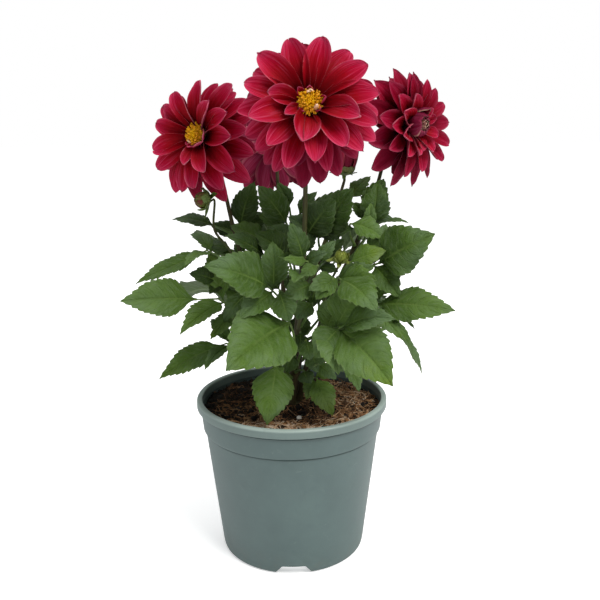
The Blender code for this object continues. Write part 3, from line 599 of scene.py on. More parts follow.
class Graph:
    """A short way to write the nodes of a material or a world. Plain values are set on the sockets."""

    def __init__(self, owner):
        self.owner = owner
        self.owner.use_nodes = True
        self.tree = owner.node_tree
        self.tree.nodes.clear()

    def node(self, kind, inputs, **settings):
        made = self.tree.nodes.new("ShaderNode" + kind)
        for key, value in settings.items():
            setattr(made, key, value)
        for key, value in inputs.items():
            if isinstance(value, Flow):
                self.tree.links.new(value.socket, made.inputs[key])
            elif value is not None:
                made.inputs[key].default_value = (*value, 1) if isinstance(value, tuple) else value
        return made

    def flow(self, kind, inputs, output=0, **settings):
        return Flow(self, self.node(kind, inputs, **settings).outputs[output])

    def math(self, operation, *values, clamp=False):
        return self.flow("Math", dict(enumerate(values)), operation=operation, use_clamp=clamp)


class Surface(Graph):
    """The nodes of a new material."""

    def __init__(self, name):
        super().__init__(bpy.data.materials.new(name))
        self.place = self.flow("TexCoord", {}, "Object")

    def values(self, *names):
        """The piece's own values at each point."""
        return [self.flow("Attribute", {}, "Fac", attribute_name=name) for name in names]

    def level(self):
        """The height over the floor, in metres."""
        return self.flow("SeparateXYZ", {0: self.place}, "Z")

    def point(self, *values):
        return self.flow("CombineXYZ", dict(enumerate(values)))

    def noise(self, scale, detail, roughness, at=None, distortion=0.0):
        inputs = {"Vector": at or self.place, "Scale": scale, "Detail": detail, "Roughness": roughness}
        return self.flow("TexNoise", inputs | {"Distortion": distortion}, "Fac")

    def mix(self, share, a, b):
        return self.flow("Mix", {0: share, 6: a, 7: b}, 2, data_type="RGBA", clamp_factor=True)

    def bump(self, height, distance):
        """A relief. Its distance is in millimetres."""
        return self.flow("Bump", {"Height": height, "Distance": distance * MM, "Strength": 1.0}, "Normal")

    def finish(self, colour, roughness, normal=None, through=None, through_share=0.0, **constants):
        """Joins the surface to the output. Through is the colour of light that shines through a blade."""
        inputs = {"Base Color": colour, "Roughness": roughness, "Normal": normal}
        inputs |= {key.replace("_", " "): value for key, value in constants.items()}
        surface = self.flow("BsdfPrincipled", inputs)
        if through is not None:
            behind = self.flow("BsdfTranslucent", {"Color": through, "Normal": normal})
            surface = self.flow("MixShader", {0: through_share, 1: surface, 2: behind})
        return self.output(surface)

    def output(self, surface):
        self.node("OutputMaterial", {"Surface": surface})
        return self.owner


def pot_material():
    """Grey-green moulded plastic: faint blotches, fine grain, scuffs, dust on the upper band, painted shade
    under the lip and the step, and a painted highlight on the lip.
    """
    g = Surface("pot plastic")
    level = g.level()
    blotch = g.noise(26, 4, 0.6)
    grain = g.noise(900, 2, 0.5)
    colour = blotch.ramp(
        (0.30, 0.075, 0.115, 0.112), (0.52, 0.085, 0.129, 0.126), (0.75, 0.097, 0.146, 0.140),
    )
    scuff = g.noise(120, 6, 0.75, distortion=0.8).band(0.60, 0.74)
    colour = g.mix(scuff * 0.30, colour, (0.20, 0.26, 0.25))
    # Shade under the lip and under the collar band's step
    for low, high, share in ((LIP_LOW - 4.5, LIP_LOW, 0.42), (BAND_LOW - 3.5, BAND_LOW - 0.4, 0.38)):
        edge = level.band(low * MM, high * MM) * g.math("LESS_THAN", level, high * MM)
        colour = g.mix(edge * share, colour, (0.035, 0.048, 0.044))
    # Painted light: the whole lip is lighter, as if lit from above
    lip = level.band(LIP_LOW * MM, (LIP_LOW + 0.6) * MM)
    colour = g.mix(lip * 0.40, colour, (0.200, 0.262, 0.238))
    # Painted highlight along the rounded top of the lip
    lip_top_highlight = level.band((POT_HEIGHT - 2.2) * MM, (POT_HEIGHT - 0.6) * MM)
    colour = g.mix(lip_top_highlight * 0.65, colour, (0.360, 0.440, 0.400))
    dust = level.band(0.112, 0.124) * g.noise(300, 5, 0.7).band(0.52, 0.75)
    colour = g.mix(dust * 0.30, colour, (0.22, 0.25, 0.21))
    rub = g.noise(48, 3, 0.65, distortion=0.4).band(0.56, 0.72)
    colour = g.mix(rub * 0.16, colour, (0.050, 0.085, 0.080))
    grime = (1 - level.band(0.0, 0.022)) * g.noise(90, 5, 0.7).band(0.42, 0.68)
    colour = g.mix(grime * 0.45, colour, (0.10, 0.12, 0.105))
    rough = blotch * 0.18 + grain * 0.10 + 0.34 + scuff * 0.12
    return g.finish(colour, rough, g.bump(grain + scuff * 0.4, 0.05), Specular_IOR_Level=0.42)


def soil_material():
    """Coir and peat: each strand, crumb and patch takes its shade from its own tone."""
    g = Surface("potting mix")
    (tone,) = g.values("tone")
    fine = g.noise(700, 5, 0.7)
    colour = (tone + (fine - 0.5) * 0.30).ramp(
        (0.0, 0.003, 0.002, 0.001), (0.20, 0.018, 0.010, 0.004), (0.40, 0.130, 0.060, 0.024),
        (0.62, 0.340, 0.180, 0.080), (0.84, 0.560, 0.380, 0.225), (1.0, 0.86, 0.82, 0.74),
    )
    return g.finish(colour, fine * 0.2 + 0.72, g.bump(g.noise(1300, 4, 0.7), 0.5), Specular_IOR_Level=0.25)


def crown_material():
    """Woody tissue, dark with soil at its foot and green-brown at its top."""
    g = Surface("root crown")
    (across,) = g.values("across")
    rise = g.level().band(0.108, 0.128)
    fibre = g.noise(1, 5, 0.7, at=g.point(across * 14, rise * 2, 0.5))
    colour = g.mix(rise, (0.016, 0.012, 0.006), (0.070, 0.070, 0.026))
    colour = g.mix(fibre.band(0.45, 0.75), colour, (0.125, 0.110, 0.050))
    return g.finish(colour, 0.75, g.bump(fibre, 0.8), Specular_IOR_Level=0.3)


def stem_material():
    """Smooth ribbed stems, green flushed with reddish brown."""
    g = Surface("stem")
    along, across, tone = g.values("along", "across", "tone")
    streak = g.noise(1, 4, 0.6, at=g.point(across * 9, along * 5, tone))
    flush = (g.noise(38, 3, 0.6) + tone * 0.40).band(0.50, 0.95)
    colour = g.mix(streak, (0.034, 0.046, 0.010), (0.085, 0.104, 0.028))
    colour = g.mix(flush * 0.80, colour, (0.046, 0.030, 0.011))
    ribs = g.math("SINE", across * 34.6)
    return g.finish(colour, streak * 0.2 + 0.42, g.bump(ribs * 0.3 + streak, 0.25), Specular_IOR_Level=0.25)


def leaf_veins(g, along, off):
    """A count of the side veins, which sweep to the tip, how near the closest is, and where veins show."""
    phase = (along - (off * VEIN_SWEEP[1] + VEIN_SWEEP[0]) * off) * VEIN_PAIRS
    phase = phase + (g.noise(55, 3, 0.6) - 0.5) * 0.55
    near = abs(g.math("FRACT", phase + 0.5) - 0.5)
    lateral = (1 - near.band(0.015, 0.13)) * (1 - off.band(0.55, 1.0))
    midrib = 1 - off.band(0.012, 0.085)
    return phase, near, midrib.most(lateral * 0.60)


def leaf_material():
    """Satin green blades with paler veins, painted sheen, painted shade in the vein grooves, and a duller,
    paler underside.
    """
    g = Surface("leaf")
    along, across, tone, under = g.values(*Piece.VALUES)
    off = abs(across)
    phase, near, vein = leaf_veins(g, along, off)
    cells = g.flow("TexVoronoi", {"Vector": g.place, "Scale": 620}, "Distance", feature="DISTANCE_TO_EDGE")
    net = 1 - cells.band(0.0, 0.16)
    patch = g.noise(70, 4, 0.6)
    # The share of the length paints shade at each blade's base and a paler sky reflection towards its tip
    colour = (tone + (patch - 0.5) * 0.50 + (along - 0.55) * 0.30).ramp(
        (0.0, 0.006, 0.013, 0.001), (0.25, 0.022, 0.049, 0.004), (0.55, 0.062, 0.120, 0.017),
        (0.80, 0.102, 0.182, 0.027), (1.0, 0.136, 0.210, 0.014),
    )
    # Painted sheen, here called bloom: a grey-green glaze over the middle of the lighter, lit blades
    bloom = along.band(0.15, 0.80) * g.noise(34, 3, 0.5).band(0.35, 0.65) * tone.band(-0.05, 0.35)
    colour = g.mix(bloom * 0.66, colour, g.mix(0.55, colour, (0.150, 0.214, 0.150)))
    streaky = g.noise(1, 4, 0.65, at=g.point(off * 2.2, phase * 2.3, tone))
    # Painted sheen in pale streaks along the veins, on the lighter, lit blades only
    mottle = streaky.band(0.44, 0.70) * off.band(0.05, 0.30) * tone.band(-0.10, 0.40)
    colour = g.mix(mottle * 0.34, colour, (0.155, 0.218, 0.125))
    colour = g.mix(streaky.band(0.50, 0.28) * 0.42, colour, (0.016, 0.038, 0.004))
    # Painted shade in the grooves beside the side veins
    groove = (1 - near.band(0.0, 0.10)) * off.band(0.04, 0.25) * patch.band(0.30, 0.60)
    colour = g.mix(groove * 0.26, colour, g.mix(0.60, colour, (0.012, 0.026, 0.006)))
    inner = (1 - off.band(0.12, 0.75)) * (1 - along.band(0.25, 0.95))
    colour = g.mix(vein * inner * 0.68, colour, (0.140, 0.225, 0.050))
    speck = g.noise(420, 3, 0.6).band(0.58, 0.72)
    colour = g.mix(speck * 0.20, colour, (0.012, 0.030, 0.006))
    colour = g.mix(net * 0.11, colour, (0.13, 0.21, 0.04))
    colour = g.mix(off.band(0.94, 1.0) * 0.25, colour, (0.19, 0.24, 0.10))
    below = g.mix(vein * 0.7, g.mix(0.45, colour, (0.165, 0.215, 0.125)), (0.26, 0.33, 0.18))
    colour = g.mix(under, colour, below)
    relief = (net * -0.25 - vein * 0.5) * (1 - under * 2) - groove * 0.15
    normal = g.bump(relief + (g.noise(150, 4, 0.6) + streaky * 0.7), 0.50)
    rough = patch * 0.22 + (under * 0.16 + 0.30)
    through = g.mix(vein, (0.22, 0.40, 0.03), (0.13, 0.20, 0.03))
    return g.finish(colour, rough, normal, through, 0.16, Specular_IOR_Level=0.11)


def petal_underside(g, along, off, tone, streak):
    """The back of a petal: greenish at its base, paler than its front, and dark on petals in the shade."""
    below = g.mix(streak.band(0.35, 0.70), (0.260, 0.008, 0.045), (0.420, 0.065, 0.140))
    below = g.mix(along.band(0.0, 0.20), (0.240, 0.120, 0.060), below)
    below = g.mix(off.band(0.70, 1.0) * 0.60, below, (0.60, 0.240, 0.250))
    return g.mix(tone.band(0.45, 1.05) * 0.68, below, (0.085, 0.0008, 0.0160))


def petal_rims(g, colour, along, across, tone, mottle):
    """Adds pale margins, partly their own colour and partly painted highlight, which fade differently on each
    side of each petal, and then rims along the curled edges and tips.

    The rims are painted highlight on petals that face the light, and pale rims of their own on those that
    close over the heart of a bloom.
    """
    off = abs(across)
    fading = g.noise(1, 2, 0.5, at=g.point(across * 1.3, along * 2.4, tone * 45)).band(0.40, 0.62)
    # Pale margins: partly the petals' own colour, partly painted highlight, which is stronger on lit petals
    # with a low tone
    edged = tone.band(0.0, -0.30) * 0.38 + 0.30
    margin = off.band(0.42, 1.0) ** 1.6 * along.band(0.32, 0.85)
    margin = margin.most(along.band(0.86, 1.0) * 0.8)
    margin = margin * mottle.band(0.55, 1.15) * (fading * 0.65 + 0.45)
    colour = g.mix(margin * edged, colour, (0.64, 0.120, 0.210))
    closed = tone.band(CLOSING_TONE - 0.20, CLOSING_TONE - 0.15)
    # Rims: painted highlight on petals that face the light, and their own pale rims on petals that close over
    # the heart
    highlight_and_closing_rims = (off.band(0.86, 1.0) * along.band(0.30, 0.60)).most(along.band(0.965, 1.0))
    highlight_and_closing_rims = highlight_and_closing_rims * g.noise(110, 4, 0.7).band(0.46, 0.62) * tone.band(0.75, 0.10).most(closed)
    colour = g.mix(highlight_and_closing_rims * (fading * 0.90 + 0.15) * (edged + 0.10), colour, (0.74, 0.300, 0.340))
    closing = closed * off.band(0.78, 0.96) * along.band(0.25, 0.50)
    return g.mix(closing * 0.62, colour, (0.46, 0.32, 0.22))


def petal_material():
    """Velvety crimson, darker at the base and rose at the tip, with lengthwise streaks, painted glints, paler
    margins that are partly painted highlight, and painted shade on petals with a high tone.
    """
    g = Surface("petal")
    along, across, tone, under = g.values(*Piece.VALUES)
    off = abs(across)
    streak = g.noise(1, 4, 0.6, at=g.point(across * 8, along * 1.1, tone * 60))
    patch = g.noise(60, 3, 0.5)
    colour = (along * 0.88 + (streak - 0.5) * 0.42 + off**3 * 0.16 + (patch - 0.5) * 0.12).ramp(
        (0.0, 0.070, 0.0002, 0.0012), (0.25, 0.195, 0.0002, 0.0030), (0.50, 0.310, 0.0003, 0.0070),
        (0.72, 0.430, 0.0020, 0.0310), (0.90, 0.545, 0.0180, 0.0810), (1.0, 0.630, 0.0740, 0.1600),
    )
    pale = streak.band(0.54, 0.76) * along.band(0.25, 0.75)
    colour = g.mix(pale * 0.42, colour, (0.62, 0.110, 0.215))
    fine = g.noise(1, 2, 0.5, at=g.point(across * 26, along * 1.6, tone))
    colour = g.mix(fine.band(0.50, 0.32) * 0.46, colour, (0.110, 0.0003, 0.0060))
    glint = fine.band(0.54, 0.72) * along.band(0.30, 0.85)
    colour = g.mix(glint * 0.42, colour, (0.64, 0.115, 0.220))
    # Painted shade: a high tone darkens the petals that hang in the shade under a bloom
    colour = g.mix(tone.band(0.35, 1.0) * 0.75, colour, (0.100, 0.0006, 0.0150))
    colour = g.mix(under * 0.90, colour, petal_underside(g, along, off, tone, streak))
    colour = petal_rims(g, colour, along, across, tone, patch + streak)
    through = along.ramp((0.0, 0.16, 0.001, 0.005), (0.6, 0.50, 0.002, 0.030), (1.0, 0.62, 0.030, 0.12))
    return g.finish(
        colour, streak * 0.2 + 0.46, g.bump(streak + patch * 0.3, 0.45), through, 0.16,
        Specular_IOR_Level=0.06, Sheen_Weight=0.015, Sheen_Roughness=0.4, Sheen_Tint=(1.0, 0.15, 0.3),
    )


def core_material():
    """The closed heart of a bloom: dark wine outside, pinker and greener inside, with pale margins."""
    g = Surface("closed core")
    along, across, tone = g.values("along", "across", "tone")
    streak = g.noise(1, 3, 0.6, at=g.point(across * 9, along, tone * 30))
    wine = g.mix(streak, (0.045, 0.0005, 0.008), (0.220, 0.005, 0.058))
    heart = g.mix(streak.band(0.30, 0.70), (0.085, 0.012, 0.018), (0.300, 0.130, 0.080))
    colour = g.mix(tone.band(0.15, 0.60), heart, wine)
    rim = (abs(across).band(0.62, 0.92) * along.band(0.20, 0.55)).most(along.band(0.93, 1.0))
    pale = g.mix(tone.band(0.30, 0.70), (0.66, 0.46, 0.33), (0.44, 0.14, 0.17))
    return g.finish(g.mix(rim * 0.70, colour, pale), 0.5, g.bump(streak, 0.5), Specular_IOR_Level=0.25)


def disc_material():
    """Golden florets, with orange-pink tips where they open at the edge, and cream curls."""
    g = Surface("floret")
    along, tone = g.values("along", "tone")
    grain = g.noise(900, 3, 0.6)
    gold = along.ramp((0.0, 0.36, 0.140, 0.003), (0.5, 0.68, 0.340, 0.004), (1.0, 0.86, 0.540, 0.012))
    tip = along.ramp((0.0, 0.30, 0.080, 0.003), (0.55, 0.74, 0.350, 0.006), (1.0, 0.88, 0.480, 0.080))
    curl = along.ramp((0.0, 0.42, 0.05, 0.02), (0.45, 0.74, 0.36, 0.12), (1.0, 0.86, 0.62, 0.42))
    colour = g.mix(grain * 0.35, g.mix(tone.band(0.45, 0.75), gold, tip), (0.70, 0.38, 0.004))
    colour = g.mix(tone.band(1.10, 1.18), colour, curl)
    return g.finish(colour, 0.6, g.bump(grain, 0.2), Specular_IOR_Level=0.1)


def bud_material():
    """Green sepals and bracts with reddish-brown flushes and paler veins. Young ones have tones below 0."""
    g = Surface("sepal")
    along, across, tone, under = g.values(*Piece.VALUES)
    vein = g.math("SINE", across * 16).band(0.2, 1.0)
    patch = g.noise(150, 4, 0.6)
    colour = g.mix(patch, (0.056, 0.105, 0.012), (0.135, 0.215, 0.032))
    colour = g.mix(vein * 0.30, colour, (0.21, 0.27, 0.10))
    flush = g.math("MULTIPLY", tone, (along + patch).band(0.75, 1.35), clamp=True)
    colour = g.mix(flush, colour, (0.155, 0.038, 0.026))
    young = g.math("MULTIPLY", tone, -0.8, clamp=True)
    colour = g.mix(young, colour, (0.300, 0.340, 0.055))
    colour = g.mix(under * 0.35, colour, (0.17, 0.20, 0.09))
    normal = g.bump(vein + patch, 0.25)
    return g.finish(colour, patch * 0.2 + 0.38, normal, (0.20, 0.30, 0.05), 0.12, Specular_IOR_Level=0.20)


def floor_material():
    """A white studio sweep with the faintest mottling. Its glow is dimmer near the pot and on the plant."""
    g = Surface("studio floor")
    near, far = ((glow,) * 3 for glow in FLOOR_GLOW)
    colour = g.mix(g.noise(6, 3, 0.6), (0.90, 0.90, 0.90), (0.93, 0.93, 0.93))
    away = g.flow("VectorMath", {0: g.place}, "Value", operation="LENGTH")
    glow = g.mix(away.band(0.2, 1.3), near, far)
    # Under the pot's foot it is bright, so that the notches don't look dark
    glow = g.mix(away.band(0.046, 0.054), far, glow)
    seen = g.flow("LightPath", {}, "Is Camera Ray")
    light = g.flow("Emission", {"Color": glow, "Strength": seen * (1 - GLOW_ON_PLANT) + GLOW_ON_PLANT})
    return g.output(g.flow("AddShader", {0: g.flow("BsdfDiffuse", {"Color": colour}), 1: light}))


def stem_ends():
    """Where each stem stops to meet the bloom or bud that it carries, and the way it arrives there."""
    ends = {}
    for stem, centre, facing, scale in BLOOMS.values():
        facing = unit(np.array(facing))
        ends[stem] = (np.array(centre) + facing * (CALYX_BOTTOM * scale - GAP), facing)
    for name, (stem, centre, _, radius) in BUDS.items():
        facing = unit(np.array(BUD_LOOKS[name][0]))
        ends[stem] = (np.array(centre) - facing * (radius + GAP), facing)
    stem, centre, facing, radius, _ = OPENING_BUD
    facing = unit(np.array(facing))
    ends[stem] = (np.array(centre) - facing * (radius + GAP), facing)
    return ends


def routes_of_stems():
    """The centreline and the radii of every stem. A side stem starts at its parent's surface."""
    routes = {}
    ends = stem_ends()
    for name, (start, places, start_radius, end_radius) in STEMS.items():
        points = [np.array(p, float) for p in places]
        if start:
            points.insert(0, surface_start(routes[start[0]], start[1], points[0], start_radius)[0])
        else:
            points[0] = points[0] + UP * GAP
        if name in ends:
            end, end_way = ends[name]
            neck = BUD_NECK_LENGTH if name.endswith("_bud") else NECK_LENGTH
            points += [end - end_way * neck, end]
        routes[name] = (smooth_route(points, STEM_STEPS), start_radius, end_radius)
    return routes


def surface_start(stem, height, towards, half):
    """Where something that heads towards a point leaves the surface of a stem, and the way it leaves."""
    route, start_radius, end_radius = stem
    i = 1
    while route[i][2] < height and i < len(route) - 1:
        i += 1
    share = (height - route[i - 1][2]) / (route[i][2] - route[i - 1][2])
    centre = route[i - 1] * (1 - share) + route[i] * share
    radius = start_radius + (end_radius - start_radius) * (i - 1 + share) / (len(route) - 1)
    along = unit(route[i] - route[i - 1])
    leaving = unit(towards - centre)
    out = unit(leaving - along * (leaving @ along))
    way = unit(out + leaving)
    return centre + out * (radius + GAP + half * abs(way @ along)), way


def make_stem(name, stem, heights, material):
    """A stem with a swollen foot, a swelling at each node that carries a leaf, and a little unevenness."""
    route, start_radius, end_radius = stem
    rng = np.random.default_rng(abs(int(route.sum() * 10)))
    fine = smooth_route(list(route), 2)
    radii = np.linspace(start_radius * 0.84, end_radius * 0.60, len(fine))
    levels = fine[:, 2]
    if start_radius > 2:
        radii *= 1 + 0.45 * np.exp(-(levels - levels[0]) / 6)
    for height in heights:
        radii *= 1 + 0.30 * np.exp(-(((levels - height) / 3.2) ** 2))
    radii *= 1 + rng.normal(0, 0.015, len(radii))
    piece = Piece()
    add_tube(piece, fine, radii, 15, 0.25 if start_radius < 2 else rng.uniform(0.75, 1.1), ridges=0.035)
    return piece.make(name, material, "stem", name)


def tooth_rows(length, rng):
    """Where a leaflet's rows lie, how far its edge stands out and leans to the tip there, and the pitch."""
    count = int(np.clip(round(length / TOOTH_PITCH), 5, 10))
    pitch = (TEETH_TO - TEETH_FROM) / count
    rows = [(0, 0, 0), (0.04, 0, 0), (0.08, 0, 0), (0.11, 0, 0)]
    for k in range(count):
        size = rng.uniform(0.45, 1.30)
        rows += [(TEETH_FROM + pitch * (k + step), gain * size, shift) for step, gain, shift in TOOTH_STEPS]
    rows += [(0.95, 0, 0), (0.975, 0, 0), (1, 0, 0)]
    return np.array(rows), pitch


def leaflet_lift(rng, u, s, x, half, length):
    """How far a blade stands over its middle surface: folded along its midrib, puffed and wavy."""
    off = np.abs(s)
    fold = LEAFLET_FOLD + rng.uniform(-0.14, 0.22)
    phase = (u - (VEIN_SWEEP[0] + VEIN_SWEEP[1] * off) * off) * VEIN_PAIRS
    puff = (0.5 - 0.5 * np.cos(2 * np.pi * phase)) * 4 * off * (1 - off) * np.sin(np.pi * u)
    wave = np.sin(2 * np.pi * (2.3 * u + rng.uniform(0, 1) + 0.35 * np.sign(s)))
    lift = fold * np.abs(x) - rng.uniform(0.0, 0.22) * off**2 * np.abs(x)
    lift = lift - 0.45 * np.exp(-(x**2)) * np.sin(np.pi * u) + puff * 0.0045 * length
    return lift + wave * off**3 * half * 0.10 - u**5 * length * rng.uniform(-0.02, 0.07)


def add_leaflet(piece, rng, base, tip, width, face, tone, arch=LEAFLET_ARCH):
    """A serrated blade that arches over, folds along its midrib and puffs up between its side veins."""
    length = np.linalg.norm(tip - base)
    axis = (tip - base) / length
    normal = unit(face - axis * (face @ axis))
    crest = (base + tip) / 2 + normal * (arch * length)
    side = np.cross(axis, normal)
    crest = crest + side * rng.uniform(-0.07, 0.07) * length
    rows, pitch = tooth_rows(length, rng)
    s = LEAF_COLUMNS[None, :]
    off = np.abs(s)
    at, gain, shift = (rows[:, k : k + 1] for k in range(3))
    u = np.clip(at + shift * pitch * off**6, 0, 1)
    half = np.interp(at[:, 0], OUTLINE_SHARES, OUTLINE_WIDTHS)[:, None] * width / 2
    x = s * half + np.sign(s) * off**6 * gain * TOOTH_DEPTH * pitch * length
    ahead = bezier_way(base, crest, tip, u)
    twist = np.radians(rng.uniform(-14, 14)) * (u - 0.3)
    above = np.cross(side, ahead)
    across = side * np.cos(twist)[..., None] + above * np.sin(twist)[..., None]
    above = np.cross(across, ahead)
    lift = leaflet_lift(rng, u, s, x, half, length)
    grid = bezier(base, crest, tip, u) + across * x[..., None] + above * lift[..., None]
    depth = 0.28 + 0.55 * np.exp(-((x / 0.8) ** 2)) * (1 - 0.7 * u)
    add_slab(piece, grid, depth, u, s, tone)


def facing_up(lean):
    """The way a blade faces: upwards, and leant to the front."""
    return np.array((0.0, -math.sin(math.radians(lean)), math.cos(math.radians(lean))))


def add_compound_leaf(piece, rng, stem, leaf, habit=None, small_side=(0, 1)):
    """A petiole that carries side leaflets in pairs and one leaflet at its end."""
    _, height, joint, tip, pairs, ratio, lean, tone = leaf
    arch, widening, end_lean, stalk = habit or (LEAFLET_ARCH, 1.0, lean, 0.0)
    joint = np.array(joint, float)
    tip = np.array(tip, float)
    face = facing_up(lean)
    start, leaving = surface_start(stem, height, joint, PETIOLE_WIDTH * 0.6)
    span = np.linalg.norm(joint - start)
    length = np.linalg.norm(tip - joint)
    from_start = start + leaving * (span / 2)
    from_joint = joint - (tip - joint) * (span / 2 / length)
    bend = (start + joint) / 4 + from_start * 0.25 + from_joint * 0.25
    shares = np.linspace(0, 1, 15)
    route = bezier(start, bend, joint, shares)
    sheath = start - leaving * 1.6
    foot = joint + (tip - joint) * stalk
    neck = joint + (tip - joint) * (stalk + 2.0 / length)
    radii = 1.15 - 0.45 * shares + 0.55 * np.exp(-shares * 14)
    add_tube(piece, [sheath, *route, neck], [1.5, *radii, 0.45], 8, tone * 0.6 + 0.5, under=0.3)
    width = length * ratio * widening
    add_leaflet(piece, rng, foot, tip, width, facing_up(end_lean), tone + rng.uniform(-0.06, 0.06), arch)
    for pair in range(pairs):
        share = max(LOWEST_PAIR_SHARE, 1 - (FIRST_PAIR_BACK + pair * PAIR_SPACING) / span)
        ahead = bezier_way(start, bend, joint, share)
        middle = bezier(start, bend, joint, share) + bezier(start, bend, joint, share - PETIOLE_WIDTH / span)
        middle = middle / 2
        reach = length * (LOWER_SIDE_LENGTH if pair else SIDE_LENGTH)
        normal = unit(face - ahead * (face @ ahead))
        side = np.cross(ahead, normal)
        for hand in (-1, 1):
            away = ahead * math.cos(SIDE_ANGLE) + side * (hand * math.sin(SIDE_ANGLE))
            base = middle + side * hand * 0.7
            size = reach * (small_side[1] if hand == small_side[0] else 1)
            end = base + (away - normal * LEAFLET_DROOP) * (size + 0.4)
            add_leaflet(piece, rng, base, end, size * ratio, face, tone + rng.uniform(-0.10, 0.10))


def make_leaves(stems, material):
    for name, leaf in LEAVES.items():
        rng = np.random.default_rng(int(name[-2:]))
        piece = Piece()
        small_side = SMALL_SIDES.get(name, (0, 1))
        add_compound_leaf(piece, rng, stems[leaf[0]], leaf, LEAF_HABITS.get(name), small_side)
        piece.make(name, material, "leaf", name)
    piece = Piece()
    rng = np.random.default_rng(400)
    for leaf in FILLER_LEAVES:
        add_compound_leaf(piece, rng, stems[leaf[0]], leaf)
    piece.make("filler_leaves", material, "leaf")


def bloom_axes(facing):
    """The way a bloom faces, and the directions that lie to its right and upwards, seen from its front."""
    facing = unit(np.array(facing, float))
    right = -unit(np.cross(facing, UP))
    return facing, right, np.cross(facing, right)


def petal_width(t, narrow, pointed):
    """A petal's width at each share of its length, as a share of its greatest width."""
    q = np.clip((t - PETAL_WIDEST) / (1 - PETAL_WIDEST), 0, 1)
    tip = (1 - pointed) * np.sqrt(np.clip(1 - q**2, 0, 1)) + pointed * (1 - q**1.5)
    base = narrow + (1 - narrow) * np.sin(np.pi / 2 * np.clip(t / PETAL_WIDEST, 0, 1)) ** 1.2
    return np.where(t < PETAL_WIDEST, base, np.maximum(tip, 0.03))


def petal_section(rng, t, s, half, width, cups):
    """How far a petal's points lie beside its middle line and over it: curled, pleated and rippled."""
    off = np.abs(s)
    cup = cups[0] + (cups[1] - cups[0]) * (t**0.8) + 0.45 * np.clip((t - 0.86) / 0.14, 0, 1)
    cup = np.maximum(cup * rng.uniform(0.85, 1.20), 0.05)[:, None]
    arc = half[:, None] * np.minimum(cup / np.sin(np.minimum(cup, 1.45)), 1.35)
    x = np.sin(cup * s) * arc / cup
    lift = (1 - np.cos(cup * s)) * arc / cup
    pleats = np.exp(-(((off - 0.36) / 0.11) ** 2)) * np.sin(np.pi * t)[:, None]
    phase = rng.uniform(0, 6.28, 3)
    ripple = np.sin(5.5 * t + phase[0])[:, None] * s + 0.7 * np.sin(9 * t + phase[1])[:, None] * off
    return x, lift - pleats * 0.036 * width + ripple * off**2 * 0.034 * width


def add_petal(
    piece, rng, base, out, facing, row, pointed, cups, tone, depth=0.5, narrow=0.60, back=1.0, layers=None
):
    """A petal cupped along its length.

    Row is its length, its width, and its rise at its base and at its tip. Cups is how far round it curls at
    its base and near its tip, in radians. Narrow is its base's share of its width. Where layers is given, it
    leans like a tile, one edge up and the other down, and lies over the petals before it.
    """
    length, width, rise, end_rise = row
    t = 1 - (1 - np.linspace(0, 1, PETAL_ROWS)) ** 1.7
    angles = np.radians(rise + (end_rise - rise) * t)[:, None]
    ahead = out * np.cos(angles) + facing * np.sin(angles)
    above = facing * np.cos(angles) - out * np.sin(angles)
    side = np.cross(ahead[0], above[0])
    steps = np.diff(t)[:, None] * (ahead[1:] + ahead[:-1]) / 2
    middle = base + length * np.concatenate([np.zeros((1, 3)), np.cumsum(steps, axis=0)])
    middle = middle + side * (rng.uniform(-0.06, 0.06) * length * t**2)[:, None]
    half = petal_width(t, narrow, pointed) * width / 2
    s = PETAL_COLUMNS[None, :]
    x, lift = petal_section(rng, t, s, half, width, cups)
    peak = rng.uniform(-0.030, 0.045) * length * np.exp(-((s / 0.28) ** 2)) * t[:, None] ** 10
    lean = PETAL_LEAN * (1 - 0.5 * t) if layers else 0
    twist = np.radians(lean + rng.uniform(-8, 8) * t)[:, None, None]
    across = side * np.cos(twist) + above[:, None, :] * np.sin(twist)
    over = above[:, None, :] * np.cos(twist) - side * np.sin(twist)
    grid = middle[:, None, :] + across * x[..., None] + over * lift[..., None]
    grid = grid + ahead[:, None, :] * peak[..., None]
    if layers:
        if rise < STEEP:
            grid = grid + facing * layers.rise_over(grid, t)[:, None, None]
        layers.lay(grid)
    thin = depth * (1 - 0.8 * np.abs(s) ** 4) * np.ones_like(t)[:, None]
    add_slab(piece, grid, thin, t[:, None], s, tone, back)


class PetalLayers:
    """Keeps how high the petals laid so far stand over a bloom's plane, so that the next lies over them."""

    HALF = 75
    GAP = 0.8
    LIMIT = 4.0

    def __init__(self, centre, facing, right, up):
        self.centre = centre
        self.axes = np.stack([right, up, facing], axis=1)
        self.top = np.full((2 * self.HALF, 2 * self.HALF), -99.0)

    def places(self, grid):
        """The millimetre squares over which the points lie, and the points' heights."""
        seen = (grid - self.centre) @ self.axes
        cells = np.clip(np.round(seen[..., :2]).astype(int) + self.HALF, 0, 2 * self.HALF - 1)
        return (cells[..., 0], cells[..., 1]), seen[..., 2]

    def rise_over(self, grid, t):
        """How far each row of a petal has to rise to clear what lies under it."""
        cells, height = self.places(grid[:, 1:-1])
        need = np.clip((self.top[cells] + self.GAP - height).max(axis=1), 0, self.LIMIT)
        need = np.maximum.accumulate(need * np.clip(t / 0.35, 0, 1))
        return np.convolve(np.pad(need, 2, mode="edge"), np.full(5, 0.2), mode="valid")

    def lay(self, grid):
        for k in np.linspace(0, 1, 4, endpoint=False):
            between = grid[:-1] * (1 - k) + grid[1:] * k
            for j in (0, 0.5):
                cells, height = self.places(between[:, :-1] * (1 - j) + between[:, 1:] * j)
                np.maximum.at(self.top, cells, height)


def petal_cups(rise):
    """Steep inner petals curl round like tubes at their base, and flat outer ones are shallow."""
    share = clamp((rise + 5) / 45)
    return 0.78 + 0.52 * share, 0.46 + 0.54 * share


